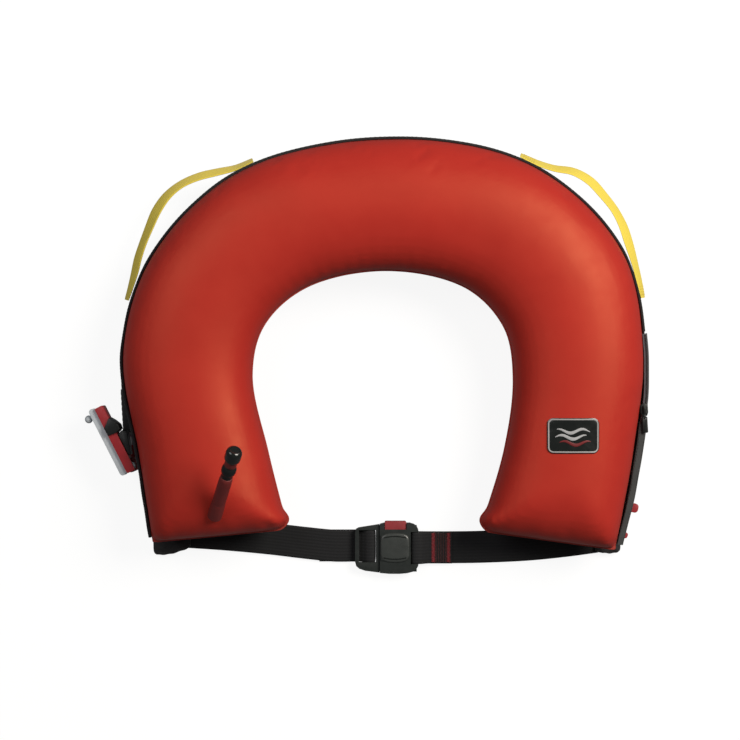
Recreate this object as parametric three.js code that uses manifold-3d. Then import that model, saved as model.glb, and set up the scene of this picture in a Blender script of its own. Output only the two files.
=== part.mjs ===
// Inflated horseshoe life jacket: a welded air bladder in an opened cover, closed by a waist belt
// with a push-button buckle, and filled by a gas inflator or by mouth.
// Millimetres. It lies on its back: +Z is up, +Y runs to the crown, +X to the belt's fixed side.
import * as THREE from 'three';
import { mergeVertices } from 'three/addons/utils/BufferGeometryUtils.js';
import Module from 'manifold-3d';

const wasm = await Module();
wasm.setup();

// ---- driving dimensions ----
const GAP = 0.3; // left between pieces that touch
const BLADDER_MID = 57; // height of the bladder's weld line above the ground
const BLADDER_RISE = 56; // from the weld line to the top of the inflated tube
const BLADDER_REST = 2.4; // underside, flattened where it rests on the cover
const ROUNDNESS = 2.25; // exponent of the tube's section: 2 is an ellipse, more is squarer
const PILLOW = 66; // length over which a leg's end swells from its flat weld
const WELD_HALF = 2; // half thickness of the flat weld at a leg's end
const COVER = 2; // thickness of the cover's fabric
const WEBBING = 1.8; // thickness of the belt
const BELT_WIDTH = 38;
const HANDLE_WIDTH = 20;
const HANDLE_LEVEL = 46; // mid height of the handles
const BELT_LEVEL = 3.4; // the belt's mid height, lying on the cover

// Matching points on the outer and the inner edge of the horseshoe, from the end of the left leg
// over the crown to the end of the right leg.
const OUTER = [
  [-274, -204], [-290, -101], [-309, 21], [-274, 136], [-171, 235], [8, 274],
  [175, 243], [282, 143], [308, 24], [296, -98], [275, -213],
];
const INNER = [
  [-115, -189], [-138, -98], [-157, -6], [-143, 53], [-92, 99], [5, 119],
  [99, 98], [144, 51], [155, -8], [145, -92], [116, -191],
];
const LEG_LENGTH = 1180; // along the middle of the tube, from end to end

// ---- materials ----
const finish = (color, roughness, metalness = 0) => () =>
  new THREE.MeshStandardMaterial({ color, roughness, metalness });
const redNylon = finish(0xb8372a, 0.55);
const redPlastic = finish(0xb4242c, 0.4);
const redHose = finish(0xa32b25, 0.5);
const blackNylon = finish(0x1c1c1e, 0.85);
const blackWebbing = finish(0x1b1b1b, 0.9);
const greyTape = finish(0x3a3c3b, 0.7);
const yellowWebbing = finish(0xe0cb4d, 0.75);
const blackPlastic = finish(0x2a2d2e, 0.4);
const greyPlastic = finish(0xafb4b8, 0.35);
const steel = finish(0x9a9da0, 0.3, 1);
const darkGlossPlastic = finish(0x151a18, 0.2);

// ---- assembly ----
const jacket = new THREE.Group();

function addMesh(name, geometry, material, parent = jacket) {
  const mesh = new THREE.Mesh(geometry, material());
  mesh.name = name;
  parent.add(mesh);
  return mesh;
}

// ---- solids ----
// A closed solid, with merged corners, ready to be joined or cut.
function solid(geometry) {
  const bare = geometry.clone();
  bare.deleteAttribute('normal');
  bare.deleteAttribute('uv');
  const merged = mergeVertices(bare, 1e-4);
  return new wasm.Manifold(new wasm.Mesh({
    numProp: 3,
    vertProperties: new Float32Array(merged.attributes.position.array),
    triVerts: new Uint32Array(merged.index.array),
  }));
}

function geometryOf(manifold) {
  const mesh = manifold.getMesh();
  const geometry = new THREE.BufferGeometry();
  geometry.setAttribute('position', new THREE.BufferAttribute(mesh.vertProperties, 3));
  geometry.setIndex(new THREE.BufferAttribute(mesh.triVerts, 1));
  return geometry.toNonIndexed();
}

const joined = (...geometries) =>
  geometryOf(geometries.map(solid).reduce((whole, piece) => whole.add(piece)));
const cut = (body, ...tools) =>
  geometryOf(tools.map(solid).reduce((rest, tool) => rest.subtract(tool), solid(body)));

// A box from its lowest to its highest corner.
function block([x0, y0, z0], [x1, y1, z1]) {
  const geometry = new THREE.BoxGeometry(x1 - x0, y1 - y0, z1 - z0);
  return geometry.translate((x0 + x1) / 2, (y0 + y1) / 2, (z0 + z1) / 2);
}

// A flat outline in X and Y, raised from one height to another.
function slab(points, low, high) {
  const shape = new THREE.Shape(points.map(([x, y]) => new THREE.Vector2(x, y)));
  const geometry = new THREE.ExtrudeGeometry(shape, { depth: high - low, bevelEnabled: false });
  return geometry.translate(0, 0, low);
}

// A rectangle with round corners, raised from one height to another.
function roundedSlab([x0, y0], [x1, y1], radius, low, high, steps = 4) {
  const corners = [[x1, y1, 0], [x0, y1, 90], [x0, y0, 180], [x1, y0, 270]];
  const points = [];
  for (const [x, y, start] of corners) {
    for (let i = 0; i <= steps; i++) {
      const angle = THREE.MathUtils.degToRad(start + (90 * i) / steps);
      const towards = [x === x1 ? -radius : radius, y === y1 ? -radius : radius];
      points.push([
        x + towards[0] + radius * Math.cos(angle),
        y + towards[1] + radius * Math.sin(angle),
      ]);
    }
  }
  return slab(points, low, high);
}

// An upright round bar on the point (x, y).
function post([x, y], radius, low, high, sides = 16) {
  const geometry = new THREE.CylinderGeometry(radius, radius, high - low, sides);
  return geometry.rotateX(Math.PI / 2).translate(x, y, (low + high) / 2);
}

// A turned piece: pairs of [radius, height], starting and ending on the axis or closing on itself.
function turned(profile, sides = 16) {
  const geometry = new THREE.LatheGeometry(profile.map(([r, h]) => new THREE.Vector2(r, h)), sides);
  return geometry.rotateX(Math.PI / 2);
}

const closedProfile = (profile) => [...profile, profile[0]];

// A bar with a constant or changing section. Each ring has a place, two axes and an outline.
function loft(rings) {
  const sides = rings[0].outline.length;
  const positions = [];
  for (const { at, right, up, outline } of rings) {
    for (const [a, b] of outline) {
      const point = at.clone().addScaledVector(right, a).addScaledVector(up, b);
      positions.push(point.x, point.y, point.z);
    }
  }
  const faces = [];
  for (let r = 0; r + 1 < rings.length; r++) {
    for (let s = 0; s < sides; s++) {
      const [p, q] = [r * sides + s, r * sides + ((s + 1) % sides)];
      faces.push([p, q, q + sides], [p, q + sides, p + sides]);
    }
  }
  const last = (rings.length - 1) * sides;
  for (const [a, b, c] of capFaces(rings[0].outline)) faces.push([a, c, b]);
  for (const [a, b, c] of capFaces(rings.at(-1).outline)) faces.push([a + last, b + last, c + last]);
  const geometry = new THREE.BufferGeometry();
  geometry.setAttribute('position', new THREE.Float32BufferAttribute(positions, 3));
  geometry.setIndex(facingOut(positions, faces).flat());
  return geometry.toNonIndexed();
}

// Triangles that fill an outline, turning the same way as it does.
function capFaces(outline) {
  const flat = outline.map(([a, b]) => new THREE.Vector2(a, b));
  const faces = THREE.ShapeUtils.triangulateShape(flat, []);
  return THREE.ShapeUtils.area(flat) > 0 ? faces : faces.map(([a, b, c]) => [a, c, b]);
}

// The same faces, turned over if they enclose a negative volume.
function facingOut(positions, faces) {
  const corner = (i) => new THREE.Vector3().fromArray(positions, i * 3);
  const volume = faces.reduce(
    (sum, [a, b, c]) => sum + corner(a).dot(corner(b).cross(corner(c))), 0);
  return volume > 0 ? faces : faces.map(([a, b, c]) => [a, c, b]);
}

const rectangle = (width, thickness) => [
  [-width / 2, -thickness / 2], [width / 2, -thickness / 2],
  [width / 2, thickness / 2], [-width / 2, thickness / 2],
];

// A strap along a smooth line through the points. across(t) is the direction of its width.
function strap(points, across, width, thickness, steps) {
  const line = new THREE.CatmullRomCurve3(
    points.map((p) => new THREE.Vector3(...p)), false, 'centripetal');
  const rings = [];
  for (let i = 0; i <= steps; i++) {
    const t = i / steps;
    const right = across(t).normalize();
    const up = line.getTangent(t).cross(right).normalize();
    rings.push({ at: line.getPoint(t), right, up, outline: rectangle(width, thickness) });
  }
  return loft(rings);
}

// ---- the horseshoe's own coordinates ----
const Z = new THREE.Vector3(0, 0, 1);
const edgeCurve = (points) => new THREE.CatmullRomCurve3(
  points.map(([x, y]) => new THREE.Vector3(x, y, BLADDER_MID)), false, 'centripetal');
const outerEdge = edgeCurve(OUTER);
const innerEdge = edgeCurve(INNER);

// The cross-section at t, from 0 at the end of the left leg to 1 at the end of the right leg.
function stationAt(t) {
  const outer = outerEdge.getPoint(t);
  const inner = innerEdge.getPoint(t);
  const outward = outer.clone().sub(inner);
  const halfWidth = outward.length() / 2;
  outward.normalize();
  const centre = outer.clone().add(inner).multiplyScalar(0.5);
  const fromEnd = Math.min(Math.min(t, 1 - t) * LEG_LENGTH / PILLOW, 1);
  const swell = Math.sqrt(1 - (1 - fromEnd) ** 2);
  const rise = WELD_HALF + (BLADDER_RISE - WELD_HALF) * swell;
  return { outer, inner, outward, centre, halfWidth, rise };
}

// A point on the rounded section, at an angle from its outer edge.
function onSection(halfWidth, rise, angle) {
  const power = (value) => Math.sign(value) * Math.abs(value) ** (2 / ROUNDNESS);
  return [halfWidth * power(Math.cos(angle)), rise * power(Math.sin(angle))];
}

// Values from 0 to 1, closer together towards both ends.
const easedSteps = (count) =>
  Array.from({ length: count + 1 }, (_, i) => 0.5 - 0.5 * Math.cos((Math.PI * i) / count));
const evenSteps = (count, from, to) =>
  Array.from({ length: count + 1 }, (_, i) => from + ((to - from) * i) / count);

// ---- bladder ----
const BLADDER_SIDES = 18;

function bladderShape(margin = 0) {
  const rings = easedSteps(46).map((t) => {
    const { centre, outward, halfWidth, rise } = stationAt(t);
    const outline = [];
    for (let i = 0; i < BLADDER_SIDES; i++) {
      const angle = (2 * Math.PI * i) / BLADDER_SIDES;
      const [across, up] = onSection(halfWidth + margin, rise + margin, angle);
      outline.push([across, Math.max(up, BLADDER_REST - BLADDER_MID - margin)]);
    }
    return { at: centre, right: outward, up: Z, outline };
  });
  return loft(rings);
}

// ---- cover ----
const COVER_INSET_OUTER = 25; // the back panel stays in from the bladder's outer edge
const COVER_INSET_INNER = 20;
const COVER_ENDS = [0.005, 0.995]; // the standing wall stops short of the folded ends
const WALL_ANGLES = [-74, -60, -44, -26, -10, 0]; // round the section, up to the weld line
const WALL_CLEAR = 2.1; // between the bladder and the wall, below its top edge
const EDGE_CLEAR = 1; // and at its top edge

// How far the opened wall stands off the bladder at its top edge: slack on the legs, most of all
// low on the right leg, and tight round the crown.
function wallStandOff(t) {
  const left = 5 * THREE.MathUtils.smoothstep(0.30 - t, 0, 0.2)
    * (0.4 + 0.6 * THREE.MathUtils.smoothstep(t, 0.005, 0.06));
  const right = 5 * THREE.MathUtils.smoothstep(t - 0.72, 0, 0.2)
    * (1 - 0.6 * THREE.MathUtils.smoothstep(t, 0.955, 0.995));
  return left + right;
}

function coverBack() {
  return loft(evenSteps(40, 0, 1).map((t) => {
    const { centre, outward, halfWidth } = stationAt(t);
    const [inner, outer] = [-halfWidth + COVER_INSET_INNER, halfWidth - COVER_INSET_OUTER];
    return {
      at: centre.clone().setZ(0), right: outward, up: Z,
      outline: [[inner, 0], [outer, 0], [outer, COVER], [inner, COVER]],
    };
  }));
}

// The wall's section: up its inner face, over the top edge and down its outer face.
function wallOutline(t, angles, thickness) {
  const { halfWidth, rise } = stationAt(t);
  const side = (grow) => angles.map((degrees) => {
    const angle = THREE.MathUtils.degToRad(degrees);
    const slack = wallStandOff(t) * THREE.MathUtils.smoothstep(degrees, -44, -4);
    const clear = WALL_CLEAR + (EDGE_CLEAR - WALL_CLEAR) * THREE.MathUtils.smoothstep(degrees, -26, -2);
    const [across, up] = onSection(halfWidth + clear + grow, rise + clear + grow, angle);
    return [across + slack, Math.max(up, COVER + GAP - BLADDER_MID)];
  });
  return [...side(0), ...side(thickness).reverse()];
}

function coverWall() {
  const [start, end] = COVER_ENDS;
  const places = [start, 0.009, 0.014, 0.02, 0.027, 0.036, 0.046, ...evenSteps(42, 0.057, 0.943),
    0.954, 0.964, 0.973, 0.98, 0.986, 0.991, end];
  return loft(places.map((t) => {
    const { centre, outward } = stationAt(t);
    return { at: centre, right: outward, up: Z, outline: wallOutline(t, WALL_ANGLES, COVER) };
  }));
}

// A strip along the wall's top edge, from one place to another round the horseshoe.
function edgeStrip(from, to, width, height, low, steps, shift = 0) {
  return loft(evenSteps(steps, from, to).map((t) => {
    const { centre, outward, halfWidth } = stationAt(t);
    const middle = halfWidth + wallStandOff(t) + EDGE_CLEAR + COVER / 2 + shift;
    return {
      at: centre, right: outward, up: Z,
      outline: rectangle(width, height).map(([a, b]) => [a + middle, b + low + height / 2]),
    };
  }));
}

const ZIP_FROM = 0.785; // where the zip starts on the right leg
const ZIP_TO = 0.868;
const ZIP_HEIGHT = 3;
const SLIDER_AT = 0.858;

function addCover() {
  addMesh('cover_back', coverBack(), blackNylon);
  addMesh('cover_wall', coverWall(), blackNylon);
  addMesh('cover_binding', edgeStrip(COVER_ENDS[0], ZIP_FROM - 0.002, 3, 3, GAP, 40), blackWebbing);
  addMesh('zip_coil', edgeStrip(ZIP_FROM, ZIP_TO, 5, ZIP_HEIGHT, GAP, 12), greyTape);
  addMesh('cover_side_band',
    edgeStrip(ZIP_TO + 0.002, COVER_ENDS[1], 8, 2.4, GAP, 16, 1), greyTape);
  addMesh('cover_end_left', coverEnd([-280, -226], [-235, -193]), blackNylon);
  addMesh('cover_end_right', coverEnd([258, -223], [289, -195]), blackNylon);
}

// The end of the cover, folded flat over the belt where it is sewn in.
function coverEnd(low, high) {
  return roundedSlab(low, high, 8, BELT_LEVEL + WEBBING / 2 + GAP, 10);
}

function addZipSlider() {
  const { centre, outward, halfWidth } = stationAt(SLIDER_AT);
  const seat = BLADDER_MID + GAP + ZIP_HEIGHT + GAP;
  const slider = new THREE.Group();
  slider.position.copy(centre).addScaledVector(
    outward, halfWidth + wallStandOff(SLIDER_AT) + EDGE_CLEAR + COVER / 2).setZ(seat);
  slider.rotation.z = Math.atan2(outward.y, outward.x);
  jacket.add(slider);
  const plate = slab([[-4.5, -4], [-3, -8], [3, -8], [4.5, -4], [4.5, 5], [1.2, 7], [-1.2, 7],
    [-4.5, 5]], 0, 1.4);
  const bridge = [block([-1.2, -5, 1], [1.2, -3.4, 4.4]), block([-1.2, 2.6, 1], [1.2, 4.2, 4.4]),
    block([-1.2, -5, 3.4], [1.2, 4.2, 4.4])];
  const lug = block([-1, -11, 0.3], [1, -7.5, 3]);
  addMesh('zip_slider', joined(plate, ...bridge, lug), blackPlastic, slider);
  const tab = roundedSlab([-3, -28], [3, -8.6], 1.4, 1.45, 2.55, 2);
  addMesh('zip_pull', cut(tab, block([-1.3, -12, 0], [1.3, -8, 4])), blackPlastic, slider);
}

// ---- belt ----
const BELT_DROP = -5.3; // the belt and buckle hang this much lower than their own numbers say
const acrossY = () => new THREE.Vector3(0, -1, 0);

// Sewn under the left cover fold, along the ground, round the adjuster bar and back as a tail.
function beltLeft() {
  const [y, bend] = [-209, -10];
  return strap([
    [-228, -193, BELT_LEVEL], [-190, -195.6, BELT_LEVEL], [-140, -200.3, BELT_LEVEL],
    [-95, -205.6, BELT_LEVEL], [-60, y, BELT_LEVEL], [-36, y, BELT_LEVEL], [-28, y, BELT_LEVEL],
    [-23.5, y, 6.6], [-19.5, y, 10], [-15, y, 11], [bend - 1.2, y, 9.8], [bend, y, 6],
    [bend - 1.2, y, 2.2], [-15, y, 1.25], [-30, y, 1.2], [-78, y, 1.2],
  ], acrossY, BELT_WIDTH, WEBBING, 60);
}

// Sewn under the right cover fold, under the buckle's bar, round it and back over itself.
function beltRight() {
  const y = -211;
  return strap([
    [262, -198, BELT_LEVEL], [225, -203, BELT_LEVEL], [180, -207.6, BELT_LEVEL],
    [120, -210.4, BELT_LEVEL], [80, y, BELT_LEVEL], [52, y, BELT_LEVEL], [43, y, 2.6], [38, y, 2.6],
    [35.2, y, 5], [35.2, y, 10.6], [37.4, y, 13.2], [42, y, 13.5], [46, y, 12.3], [51, y, 8.2],
    [55, y, 6], [62, y, 5.6], [84, y, 5.6],
  ], acrossY, BELT_WIDTH, WEBBING, 60);
}

// ---- buckle ----
const BUCKLE_TOP = -181; // the side that carries the button
const BUCKLE_FOOT = -242.2;
const HOUSING = [-4.2, 43.2]; // along the belt
const BUTTON_X = [1.8, 28];
const HOUSING_HEIGHT = 15;

function buckleHousing() {
  const [left, right] = HOUSING;
  const outline = [
    [left, -182.5], [1, BUCKLE_TOP], [33, BUCKLE_TOP], [37, -182], [40.6, -184.6],
    [42.5, -188.4], [right, -193], [right, -228], [42.3, -233], [39.8, -237], [36, -239.6],
    [29, -241.4], [20, BUCKLE_FOOT], [8, BUCKLE_FOOT], [left, -241.2],
  ];
  const panel = slab([[-2.6, -195.4], [8, -194], [26, -195], [31, -199.5], [31, -222], [26, -226],
    [8, -226.6], [-2.6, -225.6]], HOUSING_HEIGHT - 1, HOUSING_HEIGHT + 1.5);
  return cut(
    joined(slab(outline, 0, HOUSING_HEIGHT), panel),
    block([33.4, -230.6, -1], [38.7, -191.4, 20]), // slot for the webbing
    block([33.3, -243.2, -1], [50, -180, 3.9]), // room for the webbing to turn under the bar
    block([38, -230.6, 12.1], [50, -191.4, 20]), // and over it
    block([left - 1, -227.5, 4.4], [22, -200.5, 9.6]), // pocket for the tongue
    block([1.4, -188.4, 2], [28.4, -170, 20]), // mouth for the button
    block([1.4, -193.6, 2], [28.4, -170, 13.2]),
    block([5.4, -237, 0.9], [24.6, -187, 4.5]), // way of the button's plate
    block([9.4, -237, 4], [20.6, -227, 9.4]), // way of its tooth
    new THREE.CylinderGeometry(2.4, 2.4, 10, 12).translate(15, -195, 8.5), // seat of its spring
  );
}

function releaseButton() {
  return cut(
    joined(
      roundedSlab([BUTTON_X[0], -189.4], [BUTTON_X[1], -178.5], 1.5, 2.4, 13, 2),
      block([6, -231.5, 1.3], [24, -188, 4.1]),
      block([10, -231.5, 3.8], [20, -228.3, 9]),
    ),
    new THREE.CylinderGeometry(2.4, 2.4, 5, 12).translate(15, -189, 8.5),
  );
}

// A coil spring of square-ended round wire along Y.
function coilSpring(radius, wire, length, turns, stepsPerTurn = 8, sides = 5) {
  const points = evenSteps(turns * stepsPerTurn, 0, 1).map((t) => new THREE.Vector3(
    radius * Math.cos(2 * Math.PI * turns * t), t * length, radius * Math.sin(2 * Math.PI * turns * t)));
  const line = new THREE.CatmullRomCurve3(points);
  const section = new THREE.Shape(evenSteps(sides - 1, 0, (2 * Math.PI * (sides - 1)) / sides)
    .map((a) => new THREE.Vector2(wire * Math.cos(a), wire * Math.sin(a))));
  return new THREE.ExtrudeGeometry(section, {
    steps: turns * stepsPerTurn, bevelEnabled: false, extrudePath: line,
  });
}

function buckleTongue() {
  const outline = [[-34.3, -192], [-33.2, -188.2], [-30, -186.4], [-4.6, -182.4], [-4.6, -241],
    [-22, -238.8], [-29, -236.4], [-32.8, -233.2], [-34.3, -228]];
  return cut(
    joined(slab(outline, 4.6, 12), slab([[-5, -226.5], [17, -226.5], [20, -223], [20, -204.6],
      [17, -201.5], [-5, -201.5]], 4.9, 9.1)),
    block([-29.6, -228.6, 0], [-17.3, -189.4, 20]), // first slot of the adjuster
    block([-12.5, -228.6, 0], [-8.7, -189.4, 20]), // second slot
    block([-18, -228.6, 9.5], [-12, -189.4, 20]), // the bar between them is lower
  );
}

function addBelt() {
  const belt = new THREE.Group();
  belt.position.y = BELT_DROP;
  jacket.add(belt);
  addMesh('buckle_housing', buckleHousing(), blackPlastic, belt);
  addMesh('release_button', releaseButton(), redPlastic, belt);
  const spring = addMesh('button_spring', coilSpring(1.6, 0.3, 12.2, 5), steel, belt);
  spring.position.set(15, -199.5, 8.5);
  addMesh('buckle_tongue', buckleTongue(), blackPlastic, belt);
  addMesh('belt_left', beltLeft(), blackWebbing, belt);
  addMesh('belt_right', beltRight(), blackWebbing, belt);
}

// ---- handles ----
// A strap sewn to the cover at both ends and standing clear of it in between, its foot outwards.
// Its line is given by how far it stands off the bladder's edge at even steps between two places.
function handle(from, to, standOffs) {
  const points = evenSteps(standOffs.length - 1, from, to).map((t, i) => {
    const { outer, outward } = stationAt(t);
    return outer.clone().addScaledVector(outward, standOffs[i]).setZ(HANDLE_LEVEL);
  });
  const line = new THREE.CatmullRomCurve3(points);
  const lean = (t) => THREE.MathUtils.degToRad(20 + 18 * Math.sin(Math.PI * t) ** 0.8);
  const across = (t) => {
    const outward = line.getTangent(t).cross(Z).normalize();
    if (outward.dot(line.getPoint(t)) < 0) outward.negate();
    return Z.clone().multiplyScalar(Math.cos(lean(t))).addScaledVector(outward, -Math.sin(lean(t)));
  };
  return strap(points.map((point) => point.toArray()), across, HANDLE_WIDTH, 2, 36);
}

function addHandles() {
  addMesh('handle_left', handle(0.412, 0.25, [8.2, 9, 15.8, 24.5, 30.8, 32.6, 29.9, 24.5, 19.8,
    15.8, 11.8, 9.8, 9.4]), yellowWebbing);
  addMesh('handle_right', handle(0.59, 0.752, [8.2, 8.4, 13, 23, 27, 25.6, 23.8, 19.9, 14.8,
    11.6, 9.6, 8.8, 9]), yellowWebbing);
}

// ---- badge ----
// A thin plate following the bladder's top, across the right leg.
function badgePatch() {
  const [t, width, length, thickness, corner] = [0.882, 60, 41, 0.9, 7];
  const { centre, outward, halfWidth, rise } = stationAt(t);
  const along = Z.clone().cross(outward);
  const shift = -4;
  const surface = (across) => rise * (1 - Math.abs(across / halfWidth) ** ROUNDNESS) ** (1 / ROUNDNESS);
  return loft(evenSteps(14, -width / 2, width / 2).map((x) => {
    const fromSide = Math.min(width / 2 - Math.abs(x), corner);
    const half = length / 2 - corner + Math.sqrt(Math.max(corner ** 2 - (corner - fromSide) ** 2, 0.04));
    const low = surface(x + shift) + 1.4;
    return {
      at: centre.clone().addScaledVector(outward, x + shift), right: along, up: Z,
      outline: [[-half, low], [half, low], [half, low + thickness], [-half, low + thickness]],
    };
  }));
}

// ---- oral tube ----
const ORAL_BASE = new THREE.Vector3(-195, -164, 106);
const ORAL_TIP = new THREE.Vector3(-168.5, -92.5, 177); // direction of the leaning tube
const ORAL_BOSS = 16; // height of the moulded boss that the tube stands in
const ORAL_RADIUS = 7.9;
const ORAL_BORE = 3.6;

function addOralTube() {
  const oral = new THREE.Group();
  oral.position.copy(ORAL_BASE);
  oral.quaternion.setFromUnitVectors(Z, ORAL_TIP.clone().sub(ORAL_BASE).normalize());
  jacket.add(oral);
  oral.updateMatrixWorld(true);
  const boss = turned([[0, -16], [10.4, -16], [10.4, ORAL_BOSS - 3], [9.2, ORAL_BOSS],
    [0, ORAL_BOSS]]).applyMatrix4(oral.matrixWorld);
  addMesh('oral_tube_base', cut(boss, bladderShape(0.6)), redHose);
  addMesh('oral_tube', turned(closedProfile([[ORAL_BORE, ORAL_BOSS + GAP],
    [ORAL_RADIUS, ORAL_BOSS + GAP], [ORAL_RADIUS, 52], [ORAL_BORE, 52]])), redHose, oral);
  addMesh('valve_body', turned(closedProfile([[ORAL_BORE, 52.3], [7.8, 52.3], [6, 64], [8.4, 67],
    [8.6, 72], [8.2, 77], [5.4, 79], [5.4, 86.4], [4.6, 86.4], [4.6, 74], [2.4, 74], [2.4, 70],
    [ORAL_BORE, 70]])), blackPlastic, oral);
  addMesh('cap_retainer', turned(closedProfile([[5.8, 80], [7.4, 80], [7.4, 83], [5.8, 83]])),
    blackPlastic, oral);
  addMesh('valve_poppet', turned([[0, 68.5], [3.4, 68.5], [3.4, 69.7], [1.2, 69.7], [1.2, 82],
    [3.2, 82], [3.2, 83.4], [0, 83.4]], 12), greyPlastic, oral);
  const spring = addMesh('valve_spring', coilSpring(2.6, 0.35, 6.4, 3), steel, oral);
  spring.rotation.x = Math.PI / 2;
  spring.position.z = 74.9;
  addMesh('dust_cap', turned([[0, 87.2], [5.7, 87.2], [5.7, 84], [9.4, 84], [9.7, 98],
    [8.4, 102.5], [4.4, 104.6], [0, 105]]), darkGlossPlastic, oral);
}

// ---- inflator ----
const INFLATOR_TILT = 27; // degrees that its upper end leans away from the bladder
const INFLATOR_FOOT = [-306, -117];
const CYLINDER_TILT = 3.4; // the gas cylinder leans much less
const SHAFT = [5, 0]; // the lever's shaft, in the inflator's own X and Y
const SHAFT_RADIUS = 3;
const LEVER_SWING = 70; // degrees, from shut to fired
const CAM_PUSH = 2.2; // how far the shaft's disc is off its centre
const CAM_RADIUS = SHAFT_RADIUS + 0.2;
const PIN_FOOT = 4.35; // the firing pin starts this far from the shaft's axis
const CYLINDER_LEVEL = 13; // height of the gas cylinder's axis
const BODY = { low: 34, high: 58 };

// In the inflator's own frame +Y runs up the body and +X towards the bladder.
function inflatorBody(socket) {
  const strip = roundedSlab([-1.9, 8], [8.6, 80], 1.5, BODY.low, BODY.high, 2);
  const ear = roundedSlab([-1.9, -6], [8.6, 12], 1.5, 54.6, BODY.high, 2);
  const neck = roundedSlab([-2.2, -7.2], [11.8, 10], 4, 2, 37.4, 3);
  return cut(
    joined(strip, ear, neck, socket.holder),
    post(SHAFT, SHAFT_RADIUS + GAP, 6, 54.2),
    post(SHAFT, CAM_RADIUS + CAM_PUSH + GAP, 8, 21),
    socket.bore,
  );
}

// The threaded socket for the gas cylinder, and the firing pin's way, along +Y from the shaft.
function cylinderSocket() {
  const turn = THREE.MathUtils.degToRad(CYLINDER_TILT - INFLATOR_TILT);
  const place = (geometry) => geometry.rotateZ(turn).translate(...SHAFT, CYLINDER_LEVEL);
  const round = (radius, from, to) =>
    new THREE.CylinderGeometry(radius, radius, to - from, 16).translate(0, (from + to) / 2, 0);
  return {
    place,
    holder: place(round(9, 0, 24)),
    bore: place(joined(round(2.8, 2, 14), round(5.9, 12.4, 25))),
  };
}

function pullLever() {
  const knuckle = post(SHAFT, 5, 38, 54);
  const toe = slab([[-2.6, -5], [5, -5], [5, 5], [-2.6, 6]], 38, 54);
  const strip = roundedSlab([-10.4, -6], [-2.2, 82], 3.8, 38, 54, 3);
  const knob = new THREE.SphereGeometry(4.8, 12, 8).translate(-15, 72.7, 46);
  const stem = new THREE.CylinderGeometry(2, 2, 5, 8).rotateZ(Math.PI / 2).translate(-11.4, 72.7, 46);
  return cut(joined(knuckle, toe, strip, stem, knob), post(SHAFT, SHAFT_RADIUS + GAP, 30, 60));
}

// Round shaft with an off-centre disc that presses the firing pin as the lever turns.
function leverShaft() {
  const away = THREE.MathUtils.degToRad(90 + CYLINDER_TILT - INFLATOR_TILT - LEVER_SWING);
  const disc = [SHAFT[0] + CAM_PUSH * Math.cos(away), SHAFT[1] + CAM_PUSH * Math.sin(away)];
  return joined(post(SHAFT, SHAFT_RADIUS, 6.3, 53.9), post(disc, CAM_RADIUS, 9, 20));
}

function addInflator() {
  const inflator = new THREE.Group();
  inflator.position.set(...INFLATOR_FOOT, 0);
  inflator.rotation.z = THREE.MathUtils.degToRad(INFLATOR_TILT);
  jacket.add(inflator);
  const socket = cylinderSocket();
  addMesh('inflator_body', inflatorBody(socket), redPlastic, inflator);
  addMesh('pull_lever', pullLever(), greyPlastic, inflator);
  addMesh('lever_shaft', leverShaft(), steel, inflator);
  const alongY = (profile, sides = 16) => turned(profile, sides).rotateX(-Math.PI / 2);
  addMesh('firing_pin', socket.place(alongY([[0, PIN_FOOT], [2.5, PIN_FOOT], [2.5, 9.4], [0.8, 9.8],
    [0.8, 13.4], [0, 14]], 12)), steel, inflator);
  addMesh('co2_cylinder', socket.place(alongY([[0, 15.6], [1.4, 15.6], [1.4, 14.4], [5.6, 14.4],
    [5.6, 25], [7.5, 28], [10.3, 33], [11, 37], [11, 98], [10, 103.5], [7, 107.4], [0, 108.8]])),
  steel, inflator);
  addMesh('cylinder_sleeve', socket.place(alongY(closedProfile([[11.4, 40], [12.3, 40],
    [12.3, 92], [11.4, 92]]))), blackNylon, inflator);
  const clamp = cut(slab([[-1.7, 44], [8.9, 43], [14.4, 45], [15.2, 51], [12, 58], [9, 62.5],
    [-1.7, 54]], 31, 61), block([-3, 40, BODY.low - GAP], [8.9, 70, BODY.high + GAP]));
  addMesh('inflator_clamp', clamp, blackPlastic, inflator);
  const wedge = [[9, 14], [9, 41], [15.5, 43], [20.4, 38.5], [12, 12]];
  addMesh('manifold_boss', slab(wedge, 38.2, 56), blackPlastic, inflator);
}

// ---- small tabs ----
// Rounded ends of the bladder's fixing tabs, showing behind the right side band.
function addTab(name, [x, y], size, turn) {
  const tab = roundedSlab([-size / 2, -size / 2], [size / 2, size / 2], size / 3, 0, 2, 3);
  const mesh = addMesh(name, tab, redPlastic);
  mesh.position.set(x, y, 50);
  mesh.rotation.z = THREE.MathUtils.degToRad(turn);
}

addMesh('bladder', bladderShape(), redNylon);
addCover();
addZipSlider();
addBelt();
addHandles();
addMesh('badge_patch', badgePatch(), darkGlossPlastic);
addOralTube();
addInflator();
addTab('fixing_tab_upper', [298.6, -164.5], 11, -12);
addTab('fixing_tab_lower', [288, -197], 7, -20);

// The origin is the middle of the whole, on the ground.
const box = new THREE.Box3().setFromObject(jacket);
const middle = box.getCenter(new THREE.Vector3());
jacket.position.set(-middle.x, -middle.y, -box.min.z);
jacket.updateMatrixWorld(true);

export default jacket;
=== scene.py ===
import math

import bmesh
import bpy
import numpy as np
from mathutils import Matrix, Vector
from mathutils.bvhtree import BVHTree
from mathutils.kdtree import KDTree


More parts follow.
